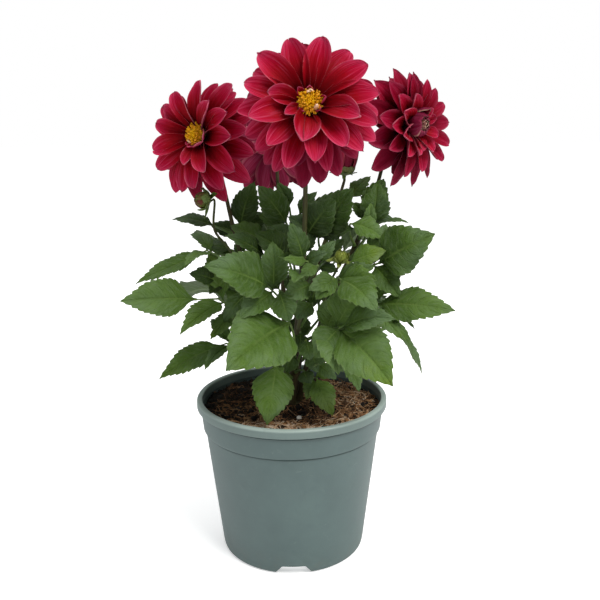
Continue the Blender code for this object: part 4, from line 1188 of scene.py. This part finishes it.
def rear_petals(rng):
    """Three whorls for the bloom that the photograph doesn't show."""
    rows = []
    for count, turn, length, width, rise, end_rise in REAR_WHORLS:
        for k in range(count):
            angle = turn + 360 * k / count + rng.uniform(-5, 5)
            size = rng.uniform(0.93, 1.07) * (1 - 0.16 * max(0, -math.cos(math.radians(angle))))
            rises = (rise + rng.uniform(-4, 4), end_rise + rng.uniform(-4, 4))
            rows.append((angle, length * size, width, *rises))
    return rows


def make_petals(name, centre, facing, scale, rows, material):
    """The petals of a bloom, flattest first. A whorl behind them closes the gaps between the outer ones."""
    facing, right, up = bloom_axes(facing)
    pieces = {"outer": Piece(), "inner": Piece()}
    rng = np.random.default_rng(len(name) * 31 + 7)
    layers = PetalLayers(centre, facing, right, up)
    behind = [(k * 30 + 14, 35 * scale, 15, -9, -28) for k in range(12)]
    rows = sorted([*rows, *behind], key=lambda row: row[3])
    for angle, length, width, rise, end_rise in rows:
        turn = math.radians(angle)
        out = spoke(right, up, turn)
        level = 0.08 * (rise - 42) - 1.5 + rng.uniform(-0.5, 0.5)
        base = centre + facing * level + out * PETAL_ROOT_RADIUS
        # The tone paints shade on the flat petals at the bottom of a bloom, and varies a little at random
        low = max(0.0, -math.cos(turn)) * max(0.0, 1 - (rise + 10) / 25)
        steep = clamp((rise - 24) / 20)
        tone = low * 0.9 + rng.uniform(0, 0.25) + PETAL_DARKENING.get(name, 0) - 0.35 * steep
        if end_rise > CLOSING_RISE:
            tone = CLOSING_TONE + 0.1 * math.sin(turn * 5)
        inner = rise > INNER_RISE
        part = pieces["inner" if inner else "outer"]
        row = (length, width * PETAL_WIDENING[name][inner], rise, end_rise)
        pointed = POINTED[name][inner] + POINTED[name][2] * math.cos(turn) + rng.uniform(-0.1, 0.1)
        cups = petal_cups(rise)
        add_petal(part, rng, base, out, facing, row, pointed, cups, tone, narrow=0.46, layers=layers)
    for rank, piece in pieces.items():
        piece.make(f"{rank}_petals_{name}", material, "petal", f"{rank}_petals_{name}")


def add_petaloids(piece, name, centre, facing, scale):
    """Small curled petals close round an open disc."""
    facing, right, up = bloom_axes(facing)
    rng = np.random.default_rng(len(name) + 5)
    for out in spokes(rng, right, up, PETALOID_ANGLES[name], 8):
        base = centre + out * 7.2 * scale - facing * 1.0
        length = rng.uniform(7, 10)
        row = (length * scale, rng.uniform(4.5, 6.0) * scale, rng.uniform(50, 64), rng.uniform(70, 100))
        add_petal(piece, rng, base, out, facing, row, 0.5, (1.2, 1.2), rng.uniform(-0.3, 0.3), 0.35, 0.6, 0.2)


def add_floret(piece, rng, base, axis, share, scale):
    """A floret with five lobes. Share is how far out it stands on its disc, 1 being at the edge."""
    length = (2.8 + 1.9 * share + rng.uniform(-0.9, 1.0)) * scale
    outline, lobed = (OPEN_FLORET, 0.42) if share > OPEN_FLORETS_FROM else (CLOSED_FLORET, 0.18)
    outline = [(r * rng.uniform(0.72, 0.98) * scale, z * length) for r, z in outline]

    def wobble(levels, angles):
        return 1 + lobed * np.cos(5 * angles) * np.clip(levels / length - 0.5, 0, 0.5) * 2

    add_lathe(piece, outline, 10, base, axis, share + rng.uniform(-0.15, 0.15), wobble)


def make_disc(name, centre, facing, scale, material):
    """A head of florets in golden-angle order: closed in the middle, open and splayed at the edge."""
    facing, right, up = bloom_axes(facing)
    rng = np.random.default_rng(len(name) + 90)
    piece = Piece()
    dome = [(0, -5.0), (3.6, -5.0), (3.8, -0.6), (7.4, 0.2), (6.6, 1.3), (3.5, 2.2), (0, 2.4)]
    add_lathe(piece, scaled(dome, scale), 20, centre, facing, 0.0)
    for k in range(FLORET_COUNT):
        share = math.sqrt((k + 0.5) / FLORET_COUNT)
        out = spoke(right, up, k * GOLDEN_ANGLE)
        lean = math.radians(62) * share**1.8
        stray = right * rng.uniform(-0.36, 0.36) + up * rng.uniform(-0.36, 0.36)
        axis = unit(facing * math.cos(lean) + out * math.sin(lean) + stray)
        base = centre + out * (share * 5.6 * scale) + facing * (2.0 - 2.2 * share**2) * scale
        add_floret(piece, rng, base, axis, share, scale)
    for angle in CREAM_ANGLES[name]:
        out = spoke(right, up, math.radians(angle))
        row = (rng.uniform(6.0, 7.5) * scale, 3.6 * scale, 62, rng.uniform(110, 150))
        base = centre + out * (6.7 * scale)
        add_petal(piece, rng, base, out, facing, row, 0.3, (1.2, 1.2), 1.2, 0.4, 0.7, 0.0)
    return piece.make(f"disc_{name}", material, "disc", f"disc_{name}")


def make_closed_core(name, centre, facing, scale, material):
    """A bloom's closed heart: petals wrapped over each other round a ball, and curled at its top."""
    axis, right, up = bloom_axes(facing)
    rng = np.random.default_rng(17)
    piece = Piece()
    outline = [(0, -5.3), (4, -5.3), (4, -0.6), (5.2, 0.4), (5.2, 2.6), (4.2, 4.0), (2.2, 4.8), (0, 5.0)]
    add_lathe(piece, scaled(outline, scale), 24, centre, axis, 1.0)
    middle = centre + axis * (4.6 * scale)
    for count, radius, spread, top, tone in CORE_RINGS:
        shell = (radius * scale, count, 1.12, spread, (tone, tone + 0.2), (2.5, top))
        add_sepals(piece, rng, middle, facing, *shell, rng.uniform(0, 6.28), 0.4)
    for k in range(CORE_PETAL_COUNT):
        out = spoke(right, up, k * GOLDEN_ANGLE)
        reach = 0.9 + 4.6 * k / CORE_PETAL_COUNT
        base = centre + (out * reach + axis * (10.6 - 0.09 * reach**2)) * scale
        row = (rng.uniform(5.0, 6.6) * scale, 4.0 * scale, 84 - 7 * reach, rng.uniform(110, 165))
        add_petal(piece, rng, base, out, axis, row, 0.4, (1.2, 1.4), rng.uniform(0.05, 0.45), 0.35, 0.6, 0.3)
    return piece.make(f"core_{name}", material, "petal", f"core_{name}")


def make_calyx(name, centre, facing, scale, material):
    """A receptacle with thin inner bracts pressed to the petals and leafy outer bracts bent back."""
    facing, right, up = bloom_axes(facing)
    rng = np.random.default_rng(len(name) + 60)
    piece = Piece()
    outline = [(0, -15), (2, -15), (3.4, -13.4), (5.4, -11.6), (6.7, -9), (7, -7.2), (6, -5.7), (0, -5.6)]
    add_lathe(piece, scaled(outline, scale), 24, centre, facing, 0.2)
    for k, out in enumerate(spokes(rng, right, up, np.arange(0, 360, 22.5), 5)):
        outer = k % 2
        base = centre + (out * (3.2 + outer * 0.5) - facing * (13.4 + outer * 0.3)) * scale
        row = (13 * scale, 7.4 * scale, 34, 8) if outer else (12.5 * scale, 7.4 * scale, 42, 18)
        add_petal(piece, rng, base, out, facing, row, 0.6, (0.7, 0.35), rng.uniform(0.3, 0.9), 0.35, 0.7)
    for out in spokes(rng, right, up, range(0, 360, 72), 10):
        base = centre + (out * 2.8 - facing * 14.0) * scale
        row = (rng.uniform(11, 15) * scale, 5.2 * scale, rng.uniform(-8, 5), rng.uniform(-75, -45))
        add_petal(piece, rng, base, out, facing, row, 0.4, (0.5, 0.3), rng.uniform(0, 0.3), 0.45, 0.35)
    return piece.make(f"calyx_{name}", material, "bud", f"calyx_{name}")


def add_sepals(piece, rng, centre, facing, radius, count, height, spread, tones, polars, turn=0.0, back=1.0):
    """Overlapping sepals pressed to a ball. Height stretches the ball along the way it faces.

    Polars are the angles from that way, in radians, between which each sepal runs.
    """
    facing, right, up = bloom_axes(facing)
    t = np.linspace(0, 1, 14)[:, None]
    s = np.linspace(-1, 1, 9)[None, :]
    for k in range(count):
        polar = polars[0] - t * (polars[0] - polars[1])
        reach = spread * (np.sin(np.pi * np.clip(t * 0.86 + 0.08, 0, 1)) ** 0.7) * (1 - 0.5 * t**4)
        azimuth = turn + 2 * np.pi * k / count + s * reach
        shell = radius * (1.0 + 0.035 * (k % 2) + 0.06 * (1 - np.abs(s) ** 2) + 0.05 * (s + 1) / 2)
        out = np.cos(azimuth)[..., None] * up + np.sin(azimuth)[..., None] * right
        level = (np.cos(polar) * height)[..., None] * facing
        grid = centre + (out * np.sin(polar)[..., None] + level) * shell[..., None]
        add_slab(piece, grid[:, ::-1], 0.4, t, s, rng.uniform(*tones), back)


def make_bud(name, centre, radius, material):
    """A closed bud: overlapping sepals, with thin green bracts that stand out under it."""
    facing, young = BUD_LOOKS[name]
    centre = np.array(centre, float)
    axis, right, up = bloom_axes(facing)
    rng = np.random.default_rng(int(radius * 10))
    piece = Piece()
    outline = [(0, -1), (0.38, -0.98), (0.75, -0.62), (0.92, 0), (0.78, 0.52), (0.36, 0.88), (0, 0.96)]
    add_lathe(piece, scaled(outline, radius), 20, centre, axis, -young)
    tones = (-0.9, -0.6) if young else (0.6, 1.3)
    add_sepals(piece, rng, centre, facing, radius * 0.92, 5, 1.04, 0.50, tones, (2.75, 0.10))
    add_sepals(piece, rng, centre, facing, radius * 0.98, 5, 1.0, 0.42, tones, (2.75, 0.60), 0.6)
    for k, out in enumerate(spokes(rng, right, up, range(0, 720, 80), 12)):
        base = centre - axis * (radius * 0.93) + out * (radius * 0.3)
        if k < 4:
            row = (radius * 1.9, radius * 1.3, 8, 100)
        else:
            row = (radius * rng.uniform(1.3, 2.1), radius * 0.8, rng.uniform(0, 30), rng.uniform(-60, 40))
        add_petal(piece, rng, base, out, axis, row, 0.7, (0.7, 0.5), -0.75 * young, 0.45, 0.5)
    return piece.make(name, material, "bud", name)


def make_opening_bud(petal, green):
    """A bud that is half open: green sepals round folded wine-red petals."""
    _, centre, facing, radius, height = OPENING_BUD
    centre = np.array(centre, float)
    axis, right, up = bloom_axes(facing)
    rng = np.random.default_rng(55)
    cup = Piece()
    outline = [(0, -9.2), (1.3, -9.2), (1.6, -6.8), (5.0, -5.6), (7.4, -3.4), (7.8, -1), (6.6, 0.6), (0, 0.6)]
    add_lathe(cup, outline, 24, centre, axis, 0.4)
    for out in spokes(rng, right, up, range(0, 360, 45), 5):
        base = centre - axis * 5.8 + out * 3.2
        row = (rng.uniform(7.5, 9.5), 6.6, 16, 84)
        add_petal(cup, rng, base, out, axis, row, 0.6, (0.6, 0.5), rng.uniform(0.1, 0.7), 0.45, 0.7)
    for out in spokes(rng, right, up, range(20, 380, 72), 10):
        row = (rng.uniform(8, 10), 3.6, rng.uniform(-10, 20), rng.uniform(-30, 60))
        add_petal(cup, rng, centre - axis * 6.0 + out * 2.2, out, axis, row, 0.6, (0.5, 0.3), 0.1, 0.45, 0.4)
    cup.make("calyx_opening_bud", green, "bud", "calyx_opening_bud")
    folded = Piece()
    for k in range(FOLDED_PETAL_COUNT):
        share = (k + 0.5) / FOLDED_PETAL_COUNT
        out = spoke(right, up, k * GOLDEN_ANGLE)
        base = centre - axis * (4.2 * share) + out * (1.5 + 6.0 * share)
        row = (rng.uniform(23, 27), 10, 88 - 26 * share, 94 + 8 * share)
        add_petal(folded, rng, base, out, axis, row, 0.7, (1.1, 1.25), rng.uniform(0.6, 1), 0.45, 0.6, 0.35)
    folded.make("petals_opening_bud", petal, "petal", "petals_opening_bud")


def pot_radius(level):
    """The radius of the pot's tapered body at a level."""
    return FOOT_RADIUS + (BODY_TOP_RADIUS - FOOT_RADIUS) * level / BAND_LOW


def arc(centre, radius, start, end, count):
    """Points round part of a circle, as radius and level. Angles run from outwards to upwards."""
    angles = np.radians(np.linspace(start, end, count))
    return [(centre[0] + radius * math.cos(a), centre[1] + radius * math.sin(a)) for a in angles]


def pot_outline():
    """The pot's section: under its floor, up its outside, over the rolled lip and down its inside."""
    underside = [(0, FLOOR_LEVEL - WALL), (FOOT_INNER_RADIUS - 1, FLOOR_LEVEL - WALL)]
    underside += [(FOOT_INNER_RADIUS, FLOOR_LEVEL - WALL - 0.8), (FOOT_INNER_RADIUS, 0.4)]
    underside += [(FOOT_INNER_RADIUS + 0.4, 0)]
    foot = [(FOOT_RADIUS - 2.2, 0), *arc((FOOT_RADIUS - 1.75, 1.8), 1.8, -70, -6, 6)]
    levels = np.linspace(4.5, BAND_LOW - BAND_STEP - 0.3, 26)
    body = [(pot_radius(z), z) for z in levels]
    step = [(BODY_TOP_RADIUS - 0.55, BAND_LOW - 1.1), (BODY_TOP_RADIUS - 0.35, BAND_LOW - 0.45)]
    step += [(BAND_RADIUS - 0.35, BAND_LOW - 0.30), (BAND_RADIUS + 0.05, BAND_LOW + 0.4)]
    slope = (NECK_RADIUS - BAND_RADIUS) / (LIP_LOW - BAND_LOW)
    band = [(BAND_RADIUS + slope * (z - BAND_LOW), z) for z in (102, 104, 106, 108, 110, 112, 114, 115.6)]
    band += [(NECK_RADIUS - 0.9, 116.4), (NECK_RADIUS - 0.8, 116.9)]
    lip = [(NECK_RADIUS + 0.5, LIP_LOW), (RIM_RADIUS - 1.1, LIP_LOW + 0.15)]
    lip += [*arc((RIM_RADIUS - 0.9, LIP_LOW + 1.05), 0.9, -75, 0, 5), (RIM_RADIUS, LIP_LOW + 3)]
    lip += arc((RIM_RADIUS - LIP_ROUND, POT_HEIGHT - LIP_ROUND), LIP_ROUND, 0, 90, 8)
    inner_lip = NECK_RADIUS - WALL
    lip += arc((inner_lip + 1.0, POT_HEIGHT - 1.0), 1.0, 90, 180, 6)
    inside = [(inner_lip, POT_HEIGHT - 4), (inner_lip, LIP_LOW), (BAND_RADIUS - WALL, BAND_LOW + BAND_STEP)]
    inside += [(BODY_TOP_RADIUS - WALL, BAND_LOW - BAND_STEP)]
    inside += [(pot_radius(BODY_MIDDLE_LEVEL) - WALL, BODY_MIDDLE_LEVEL)]
    inside += [(pot_radius(FLOOR_LEVEL) - WALL, FLOOR_LEVEL + 0.6)]
    inside += [(pot_radius(FLOOR_LEVEL) - WALL - 0.8, FLOOR_LEVEL)]
    return [*underside, *foot, *body, *step, *band, *lip, *inside, (0, FLOOR_LEVEL)]


def prism(low, high):
    """The points and faces of a solid between two outlines that have as many corners."""
    count = len(low)
    faces = [list(range(count))[::-1], list(range(count, 2 * count))]
    faces += [[k, (k + 1) % count, count + (k + 1) % count, count + k] for k in range(count)]
    return [*low, *high], faces


def notch_cutter(index):
    """A trapezium that opens the foot's skirt, so that water drains from under the floor."""
    angle = 2 * math.pi * index / NOTCH_COUNT - math.pi / 2
    out = np.array((math.cos(angle), math.sin(angle), 0.0))
    across = np.array((-out[1], out[0], 0.0))
    foot = NOTCH_FOOT_WIDTH / 2 + 1
    top = NOTCH_TOP_WIDTH / 2
    shape = [(-foot, -1), (foot, -1), (top + 1.6, NOTCH_HEIGHT - 1.8), (top + 0.6, NOTCH_HEIGHT - 0.5)]
    shape += [(top - 0.8, NOTCH_HEIGHT), (-top + 0.8, NOTCH_HEIGHT)]
    shape += [(-top - 0.6, NOTCH_HEIGHT - 0.5), (-top - 1.6, NOTCH_HEIGHT - 1.8)]
    reaches = (FOOT_INNER_RADIUS - 7, FOOT_RADIUS + 6)
    return prism(*([out * reach + across * x + UP * z for x, z in shape] for reach in reaches))


def drain_cutter(index):
    """A round hole through the pot's floor."""
    angle = 2 * math.pi * (index + 0.5) / DRAIN_COUNT
    centre = np.array((math.cos(angle), math.sin(angle), 0.0)) * DRAIN_RING_RADIUS
    turns = 2 * np.pi * np.arange(DRAIN_SIDES) / DRAIN_SIDES
    ring = np.stack([np.cos(turns), np.sin(turns), np.zeros(DRAIN_SIDES)], axis=1) * DRAIN_RADIUS + centre
    return prism(ring + UP * (FLOOR_LEVEL - 3 * WALL), ring + UP * (FLOOR_LEVEL + 2 * WALL))


def make_pot(material):
    """The pot is turned from its section, and the notches and drain holes are cut out of it."""
    piece = Piece()
    add_lathe(piece, pot_outline(), POT_SIDES, np.zeros(3), UP, 0.0)
    pot = piece.make("nursery_pot", material, "pot", "pot", sharp=POT_SHARP)
    cutters = bpy.data.collections.new("cutters")
    shapes = [notch_cutter(k) for k in range(NOTCH_COUNT)] + [drain_cutter(k) for k in range(DRAIN_COUNT)]
    for points, faces in shapes:
        mesh = bpy.data.meshes.new("cutter")
        mesh.from_pydata([tuple(p * MM) for p in points], [], faces)
        cutters.objects.link(bpy.data.objects.new("cutter", mesh))
    bpy.context.scene.collection.children.link(cutters)
    cut = pot.modifiers.new("cut", "BOOLEAN")
    cut.operation = "DIFFERENCE"
    cut.operand_type = "COLLECTION"
    cut.collection = cutters
    cut.solver = "EXACT"
    solid = bpy.data.meshes.new_from_object(pot.evaluated_get(bpy.context.evaluated_depsgraph_get()))
    pot.modifiers.remove(cut)
    pot.data = solid
    for cutter in list(cutters.objects):
        bpy.data.objects.remove(cutter)
    bpy.data.collections.remove(cutters)
    solid.set_sharp_from_angle(angle=math.radians(POT_SHARP))
    return pot


def uneven(x, y, size, seed):
    """Smooth random relief between -1 and 1, with bumps of about the given size."""
    return noise.noise(Vector((x / size, y / size, seed)))


def on_grid(rule, x, y):
    return np.array([[rule(*place) for place in zip(*row)] for row in zip(x, y)])


def soil_level(x, y):
    """The height of the soil's surface: a low mound, uneven, with a dark hollow beside the crown."""
    radius = math.hypot(x, y)
    level = SOIL_EDGE_LEVEL + SOIL_MOUND * math.cos(min(radius / 66, 1) * math.pi / 2)
    level += 2.4 * uneven(x, y, 17, 3.1) + 1.4 * uneven(x, y, 6, 8.7)
    level += 2.2 * clamp((-y - 30) / 30)
    foot = math.hypot(x - CROWN_CENTRE[0], y - CROWN_CENTRE[1])
    level += 3.6 * math.exp(-(((foot - 8) / 7) ** 2))
    hollow = math.exp(-(((x - HOLLOW_CENTRE[0]) / 16) ** 2) - ((y - HOLLOW_CENTRE[1]) / 8) ** 2)
    return min(level - 5.0 * hollow, SOIL_TOP)


def make_soil_plug(material):
    """The plug of potting mix: its uneven top, and rings down the pot's wall and across its floor."""
    radii = np.linspace(0.012, 1, SOIL_RINGS) ** 0.8 * SOIL_RADIUS
    angles = 2 * np.pi * np.arange(SOIL_SIDES) / SOIL_SIDES
    x = radii[:, None] * np.cos(angles)
    y = radii[:, None] * np.sin(angles)
    rough = on_grid(lambda a, b: uneven(a, b, 1.6, 0.4), x, y)
    top = np.stack([x, y, on_grid(soil_level, x, y) + rough * 0.9], axis=-1)
    inside = WALL + GAP
    bottom = FLOOR_LEVEL + GAP
    below = [
        np.stack([radius * np.cos(angles), radius * np.sin(angles), np.full(SOIL_SIDES, level)], axis=-1)
        for radius, level in (
            (BAND_RADIUS - inside, BAND_LOW + BAND_STEP), (BODY_TOP_RADIUS - inside, BAND_LOW - BAND_STEP),
            (pot_radius(BODY_MIDDLE_LEVEL) - inside, BODY_MIDDLE_LEVEL),
            (pot_radius(FLOOR_LEVEL) - inside, bottom), (30, bottom), (0.8, bottom),
        )
    ]
    grid = np.concatenate([top, np.array(below)])
    tone = 0.16 + 0.22 * rough + 0.7 * on_grid(soil_shade, x, y)
    tone = np.concatenate([tone, np.full((len(below), SOIL_SIDES), 0.2)])
    piece = Piece()
    piece.add(grid, grid_faces(*grid.shape[:2], closed=True), pack_values(grid.shape[:2], 0, 0, tone, 0))
    last = (len(grid) - 1) * SOIL_SIDES
    piece.faces.append(list(range(SOIL_SIDES))[::-1])
    piece.faces.append([last + k for k in range(SOIL_SIDES)])
    piece.make("soil_plug", material, "soil", "soil", sharp=180)


def make_soil(material):
    """The plug of potting mix, with strands of coir, twigs, crumbs and a few white grains on it."""
    make_soil_plug(material)
    rng = random.Random("soil")
    loose = Piece()
    for _ in range(STRAND_COUNT):
        add_strand(loose, rng, *place_on_soil(rng, 0.62))
    for x, y, turn, length, tone in TWIGS:
        add_twig(loose, rng, x, y, math.radians(turn), length, tone)
    loose.make("coir_strands", material, "soil")
    crumbs = Piece()
    for _ in range(CRUMB_COUNT):
        x, y = place_on_soil(rng, 0.5)
        size = rng.choice((0.4, 0.6, 0.8, 1.1, 1.6, 2.4)) * rng.uniform(0.8, 1.2)
        tone = rng.choice((0.06, 0.14, 0.24, 0.36, 0.50)) + rng.uniform(-0.06, 0.06)
        add_crumb(crumbs, rng, x, y, size, max(tone + 0.8 * soil_shade(x, y), 0.02))
    scattered = [(*place_on_soil(rng, 0.6), 1.0, 0) for _ in range(GRAIN_COUNT)]
    for x, y, size, lift in (*WHITE_GRAINS, *scattered):
        add_crumb(crumbs, rng, x, y, size * rng.uniform(0.7, 1.25), 1.0, lift)
    crumbs.make("soil_crumbs", material, "soil")


def soil_shade(x, y):
    """How much lighter the mix is at a place: lighter at the front and right, darker towards the back left,
    with painted shade in the hollow.
    """
    lighter_front = 0.38 * clamp((-y - 34) / 20) + 0.04 * clamp((x - 18) / 30)
    # Painted shade in the hollow beside the crown
    hollow_shade = math.exp(-(((x - HOLLOW_CENTRE[0]) / 22) ** 2) - ((y - HOLLOW_CENTRE[1]) / 12) ** 2)
    patches = 0.32 * uneven(x, y, 11, 5.2) + 0.16 * uneven(x, y, 4, 2.7)
    return lighter_front - 0.46 * hollow_shade - 0.34 * clamp((y - x + 10) / 60) + patches


def place_on_soil(rng, power):
    """A random place on the soil. A lower power puts more places near its edge."""
    radius = (SOIL_RADIUS - 2.5) * rng.random() ** power
    turn = rng.uniform(0, 2 * math.pi)
    return radius * math.cos(turn), radius * math.sin(turn)


def add_strand(piece, rng, x, y):
    """A curved fibre that lies on the soil, with one end sometimes lifted."""
    length = rng.choice((4, 5, 7, 9, 13, 18)) * rng.uniform(0.8, 1.2)
    turn = rng.uniform(0, 2 * math.pi)
    bend = rng.uniform(-1.6, 1.6)
    lift = rng.choice((0, 0, 0, 0, 1.5, 4.0)) * rng.uniform(0.4, 1)
    route = []
    for k in range(6):
        level = soil_level(x, y) + 0.35 + rng.uniform(0, 0.9) + lift * (k / 5) ** 2
        route.append((x, y, level))
        turn += bend / 5 + rng.uniform(-0.22, 0.22)
        x += math.cos(turn) * length / 5
        y += math.sin(turn) * length / 5
        away = math.hypot(x, y)
        if away > STRANDS_WITHIN:
            x, y = x * STRANDS_WITHIN / away, y * STRANDS_WITHIN / away
    radius = rng.uniform(0.15, 0.44)
    radii = [radius * 0.6, radius, radius, radius * 0.9, radius * 0.7, radius * 0.3]
    tone = rng.choice((0.24, 0.34, 0.46, 0.58, 0.70, 0.80)) + rng.uniform(-0.05, 0.05)
    add_tube(piece, route, radii, 4, min(max(tone + soil_shade(x, y), 0.04), 0.88))


def add_twig(piece, rng, x, y, turn, length, tone):
    """A stick half sunk in the soil."""
    way = np.array((math.cos(turn), math.sin(turn), 0.0))
    start = np.array((x, y, 0.0))
    route = []
    for k in range(9):
        place = start + way * (length * k / 8)
        place[2] = soil_level(place[0], place[1]) + 0.7 + rng.uniform(-0.2, 0.2)
        route.append(place)
    add_tube(piece, route, [0.7, 1.0, 1.1, 1.0, 1.05, 0.95, 0.9, 0.8, 0.4], 8, tone, ridges=0.08)


def add_crumb(piece, rng, x, y, size, tone, lift=0):
    """An uneven lump, flattened to a random degree. Lift is how high it lies on the strands."""
    centre = np.array((x, y, soil_level(x, y) + size * 0.25 + lift))
    stretch = np.array((rng.uniform(0.7, 1.3), rng.uniform(0.7, 1.3), rng.uniform(0.5, 0.9)))
    spin = Matrix.Rotation(rng.uniform(0, 6.28), 3, "Z") @ Matrix.Rotation(rng.uniform(-0.5, 0.5), 3, "X")
    seed = Vector((rng.uniform(0, 50), 0, 0))
    points = []
    for corner in LUMP_POINTS:
        swell = 1 + 0.55 * noise.noise(Vector(corner) * 1.4 + seed)
        points.append(centre + np.array(spin @ Vector(corner * stretch)) * size * swell)
    piece.add(points, LUMP_FACES, (0, 0, tone, 0))


def lump():
    """The corners and faces of an icosahedron, with its corners 1 from its middle."""
    g = (1 + math.sqrt(5)) / 2
    corners = [(-1, g, 0), (1, g, 0), (-1, -g, 0), (1, -g, 0), (0, -1, g), (0, 1, g)]
    corners += [(0, -1, -g), (0, 1, -g), (g, 0, -1), (g, 0, 1), (-g, 0, -1), (-g, 0, 1)]
    faces = [(0, 11, 5), (0, 5, 1), (0, 1, 7), (0, 7, 10), (0, 10, 11), (1, 5, 9), (5, 11, 4), (11, 10, 2)]
    faces += [(10, 7, 6), (7, 1, 8), (3, 9, 4), (3, 4, 2), (3, 2, 6), (3, 6, 8), (3, 8, 9), (4, 9, 5)]
    faces += [(2, 4, 11), (6, 2, 10), (8, 6, 7), (9, 8, 1)]
    return np.array([unit(np.array(c, float)) for c in corners]), faces


def make_crown(material):
    """The woody crown, ridged and uneven, with a few roots that run into the soil."""
    piece = Piece()
    outline = []
    for (r0, z0), (r1, z1) in zip(CROWN_OUTLINE[1:], CROWN_OUTLINE[2:-1]):
        outline += [(r0 + (r1 - r0) * k / 5, z0 + (z1 - z0) * k / 5) for k in range(5)]
    outline = [CROWN_OUTLINE[0], *outline, CROWN_OUTLINE[-2], CROWN_OUTLINE[-1]]

    def wobble(levels, angles):
        return 0.94 + 0.05 * np.cos(angles * 7 + levels * 0.12) + 0.04 * np.sin(angles * 13 - levels * 0.3)

    add_lathe(piece, outline, 56, CROWN_CENTRE, UP, 0.0, wobble)
    rng = random.Random("roots")
    for k in range(ROOT_COUNT):
        turn = k * 0.7 + rng.uniform(-0.2, 0.2)
        route = []
        for step in range(7):
            reach = 8.2 + step * rng.uniform(1.6, 2.4)
            turn += rng.uniform(-0.10, 0.10)
            x = CROWN_CENTRE[0] + reach * math.cos(turn)
            y = CROWN_CENTRE[1] + reach * math.sin(turn)
            route.append((x, y, max(118 - step * 3.2, soil_level(x, y) - 0.3 - 0.25 * step)))
        add_tube(piece, route, [1.3, 1.2, 1.0, 0.85, 0.7, 0.55, 0.3], 7, 0.3)
    piece.make("crown", material, "crown", "root_crown")


def make_room():
    """The floor, the soft lights, and surroundings that are white to the camera and dimmer on the plant."""
    bpy.ops.mesh.primitive_plane_add(size=STUDIO_SIZE, location=(0, 0, -STUDIO_DROP))
    floor = bpy.context.object
    floor.name = "studio_floor"
    floor.data.materials.append(floor_material())
    for name, place, aim, size, watts, colour in LIGHTS:
        data = bpy.data.lights.new(name, "AREA")
        data.shape = "DISK"
        data.size = size
        data.energy = watts
        data.color = colour
        light = bpy.data.objects.new(name, data)
        light.location = place
        light.rotation_euler = (Vector(aim) - Vector(place)).to_track_quat("-Z", "Y").to_euler()
        bpy.context.scene.collection.objects.link(light)
    g = Graph(bpy.data.worlds.new("studio"))
    lighting = g.flow("Background", {"Color": (0.96, 0.98, 1), "Strength": WORLD_LIGHT})
    white = g.flow("Background", {"Color": (1, 1, 1), "Strength": 1.0})
    seen = g.flow("LightPath", {}, "Is Camera Ray")
    g.node("OutputWorld", {"Surface": g.flow("MixShader", {0: seen, 1: lighting, 2: white})})
    bpy.context.scene.world = g.owner


def make_camera():
    """The camera at the photograph's height, tilt and angle of view."""
    pitch, yaw, roll = (math.radians(a) for a in (CAMERA_PITCH, CAMERA_YAW, CAMERA_ROLL))
    level_right = Vector((math.cos(yaw), -math.sin(yaw), 0))
    ahead = Vector((math.cos(pitch) * math.sin(yaw), math.cos(pitch) * math.cos(yaw), -math.sin(pitch)))
    level_up = Vector((math.sin(pitch) * math.sin(yaw), math.sin(pitch) * math.cos(yaw), math.cos(pitch)))
    right = level_right * math.cos(roll) - level_up * math.sin(roll)
    up = level_right * math.sin(roll) + level_up * math.cos(roll)
    data = bpy.data.cameras.new("camera")
    data.sensor_width = SENSOR_WIDTH
    data.lens = CAMERA_LENS
    camera = bpy.data.objects.new("camera", data)
    camera.matrix_world = Matrix.Translation(CAMERA_PLACE) @ Matrix((right, up, -ahead)).transposed().to_4x4()
    bpy.context.scene.collection.objects.link(camera)
    bpy.context.scene.camera = camera


def build():
    stems = routes_of_stems()
    green = stem_material()
    for name, stem in stems.items():
        heights = [leaf[1] for leaf in (*LEAVES.values(), *FILLER_LEAVES) if leaf[0] == name]
        make_stem(name, stem, heights, green)
    make_leaves(stems, leaf_material())
    petal, disc, sepal = petal_material(), disc_material(), bud_material()
    shown = {"centre": CENTRE_PETALS, "left": LEFT_PETALS, "right": RIGHT_PETALS}
    for name, (_, centre, facing, scale) in BLOOMS.items():
        centre = np.array(centre, float)
        rows = shown[name] if name in shown else rear_petals(np.random.default_rng(3))
        make_petals(name, centre, facing, scale, rows, petal)
        make_calyx(name, centre, facing, scale, sepal)
        if name == "right":
            make_closed_core(name, centre, facing, scale, core_material())
            continue
        make_disc(name, centre, facing, scale, disc)
        curled = Piece()
        add_petaloids(curled, name, centre, facing, scale)
        curled.make(f"curled_petals_{name}", petal, "petal")
    for name, (_, centre, _, radius) in BUDS.items():
        make_bud(name, centre, radius, sepal)
    make_opening_bud(petal, sepal)
    make_pot(pot_material())
    make_soil(soil_material())
    make_crown(crown_material())


LUMP_POINTS, LUMP_FACES = lump()
make_camera()
make_room()
build()
view = bpy.context.scene.view_settings
view.view_transform = "Standard"
view.look = "None"
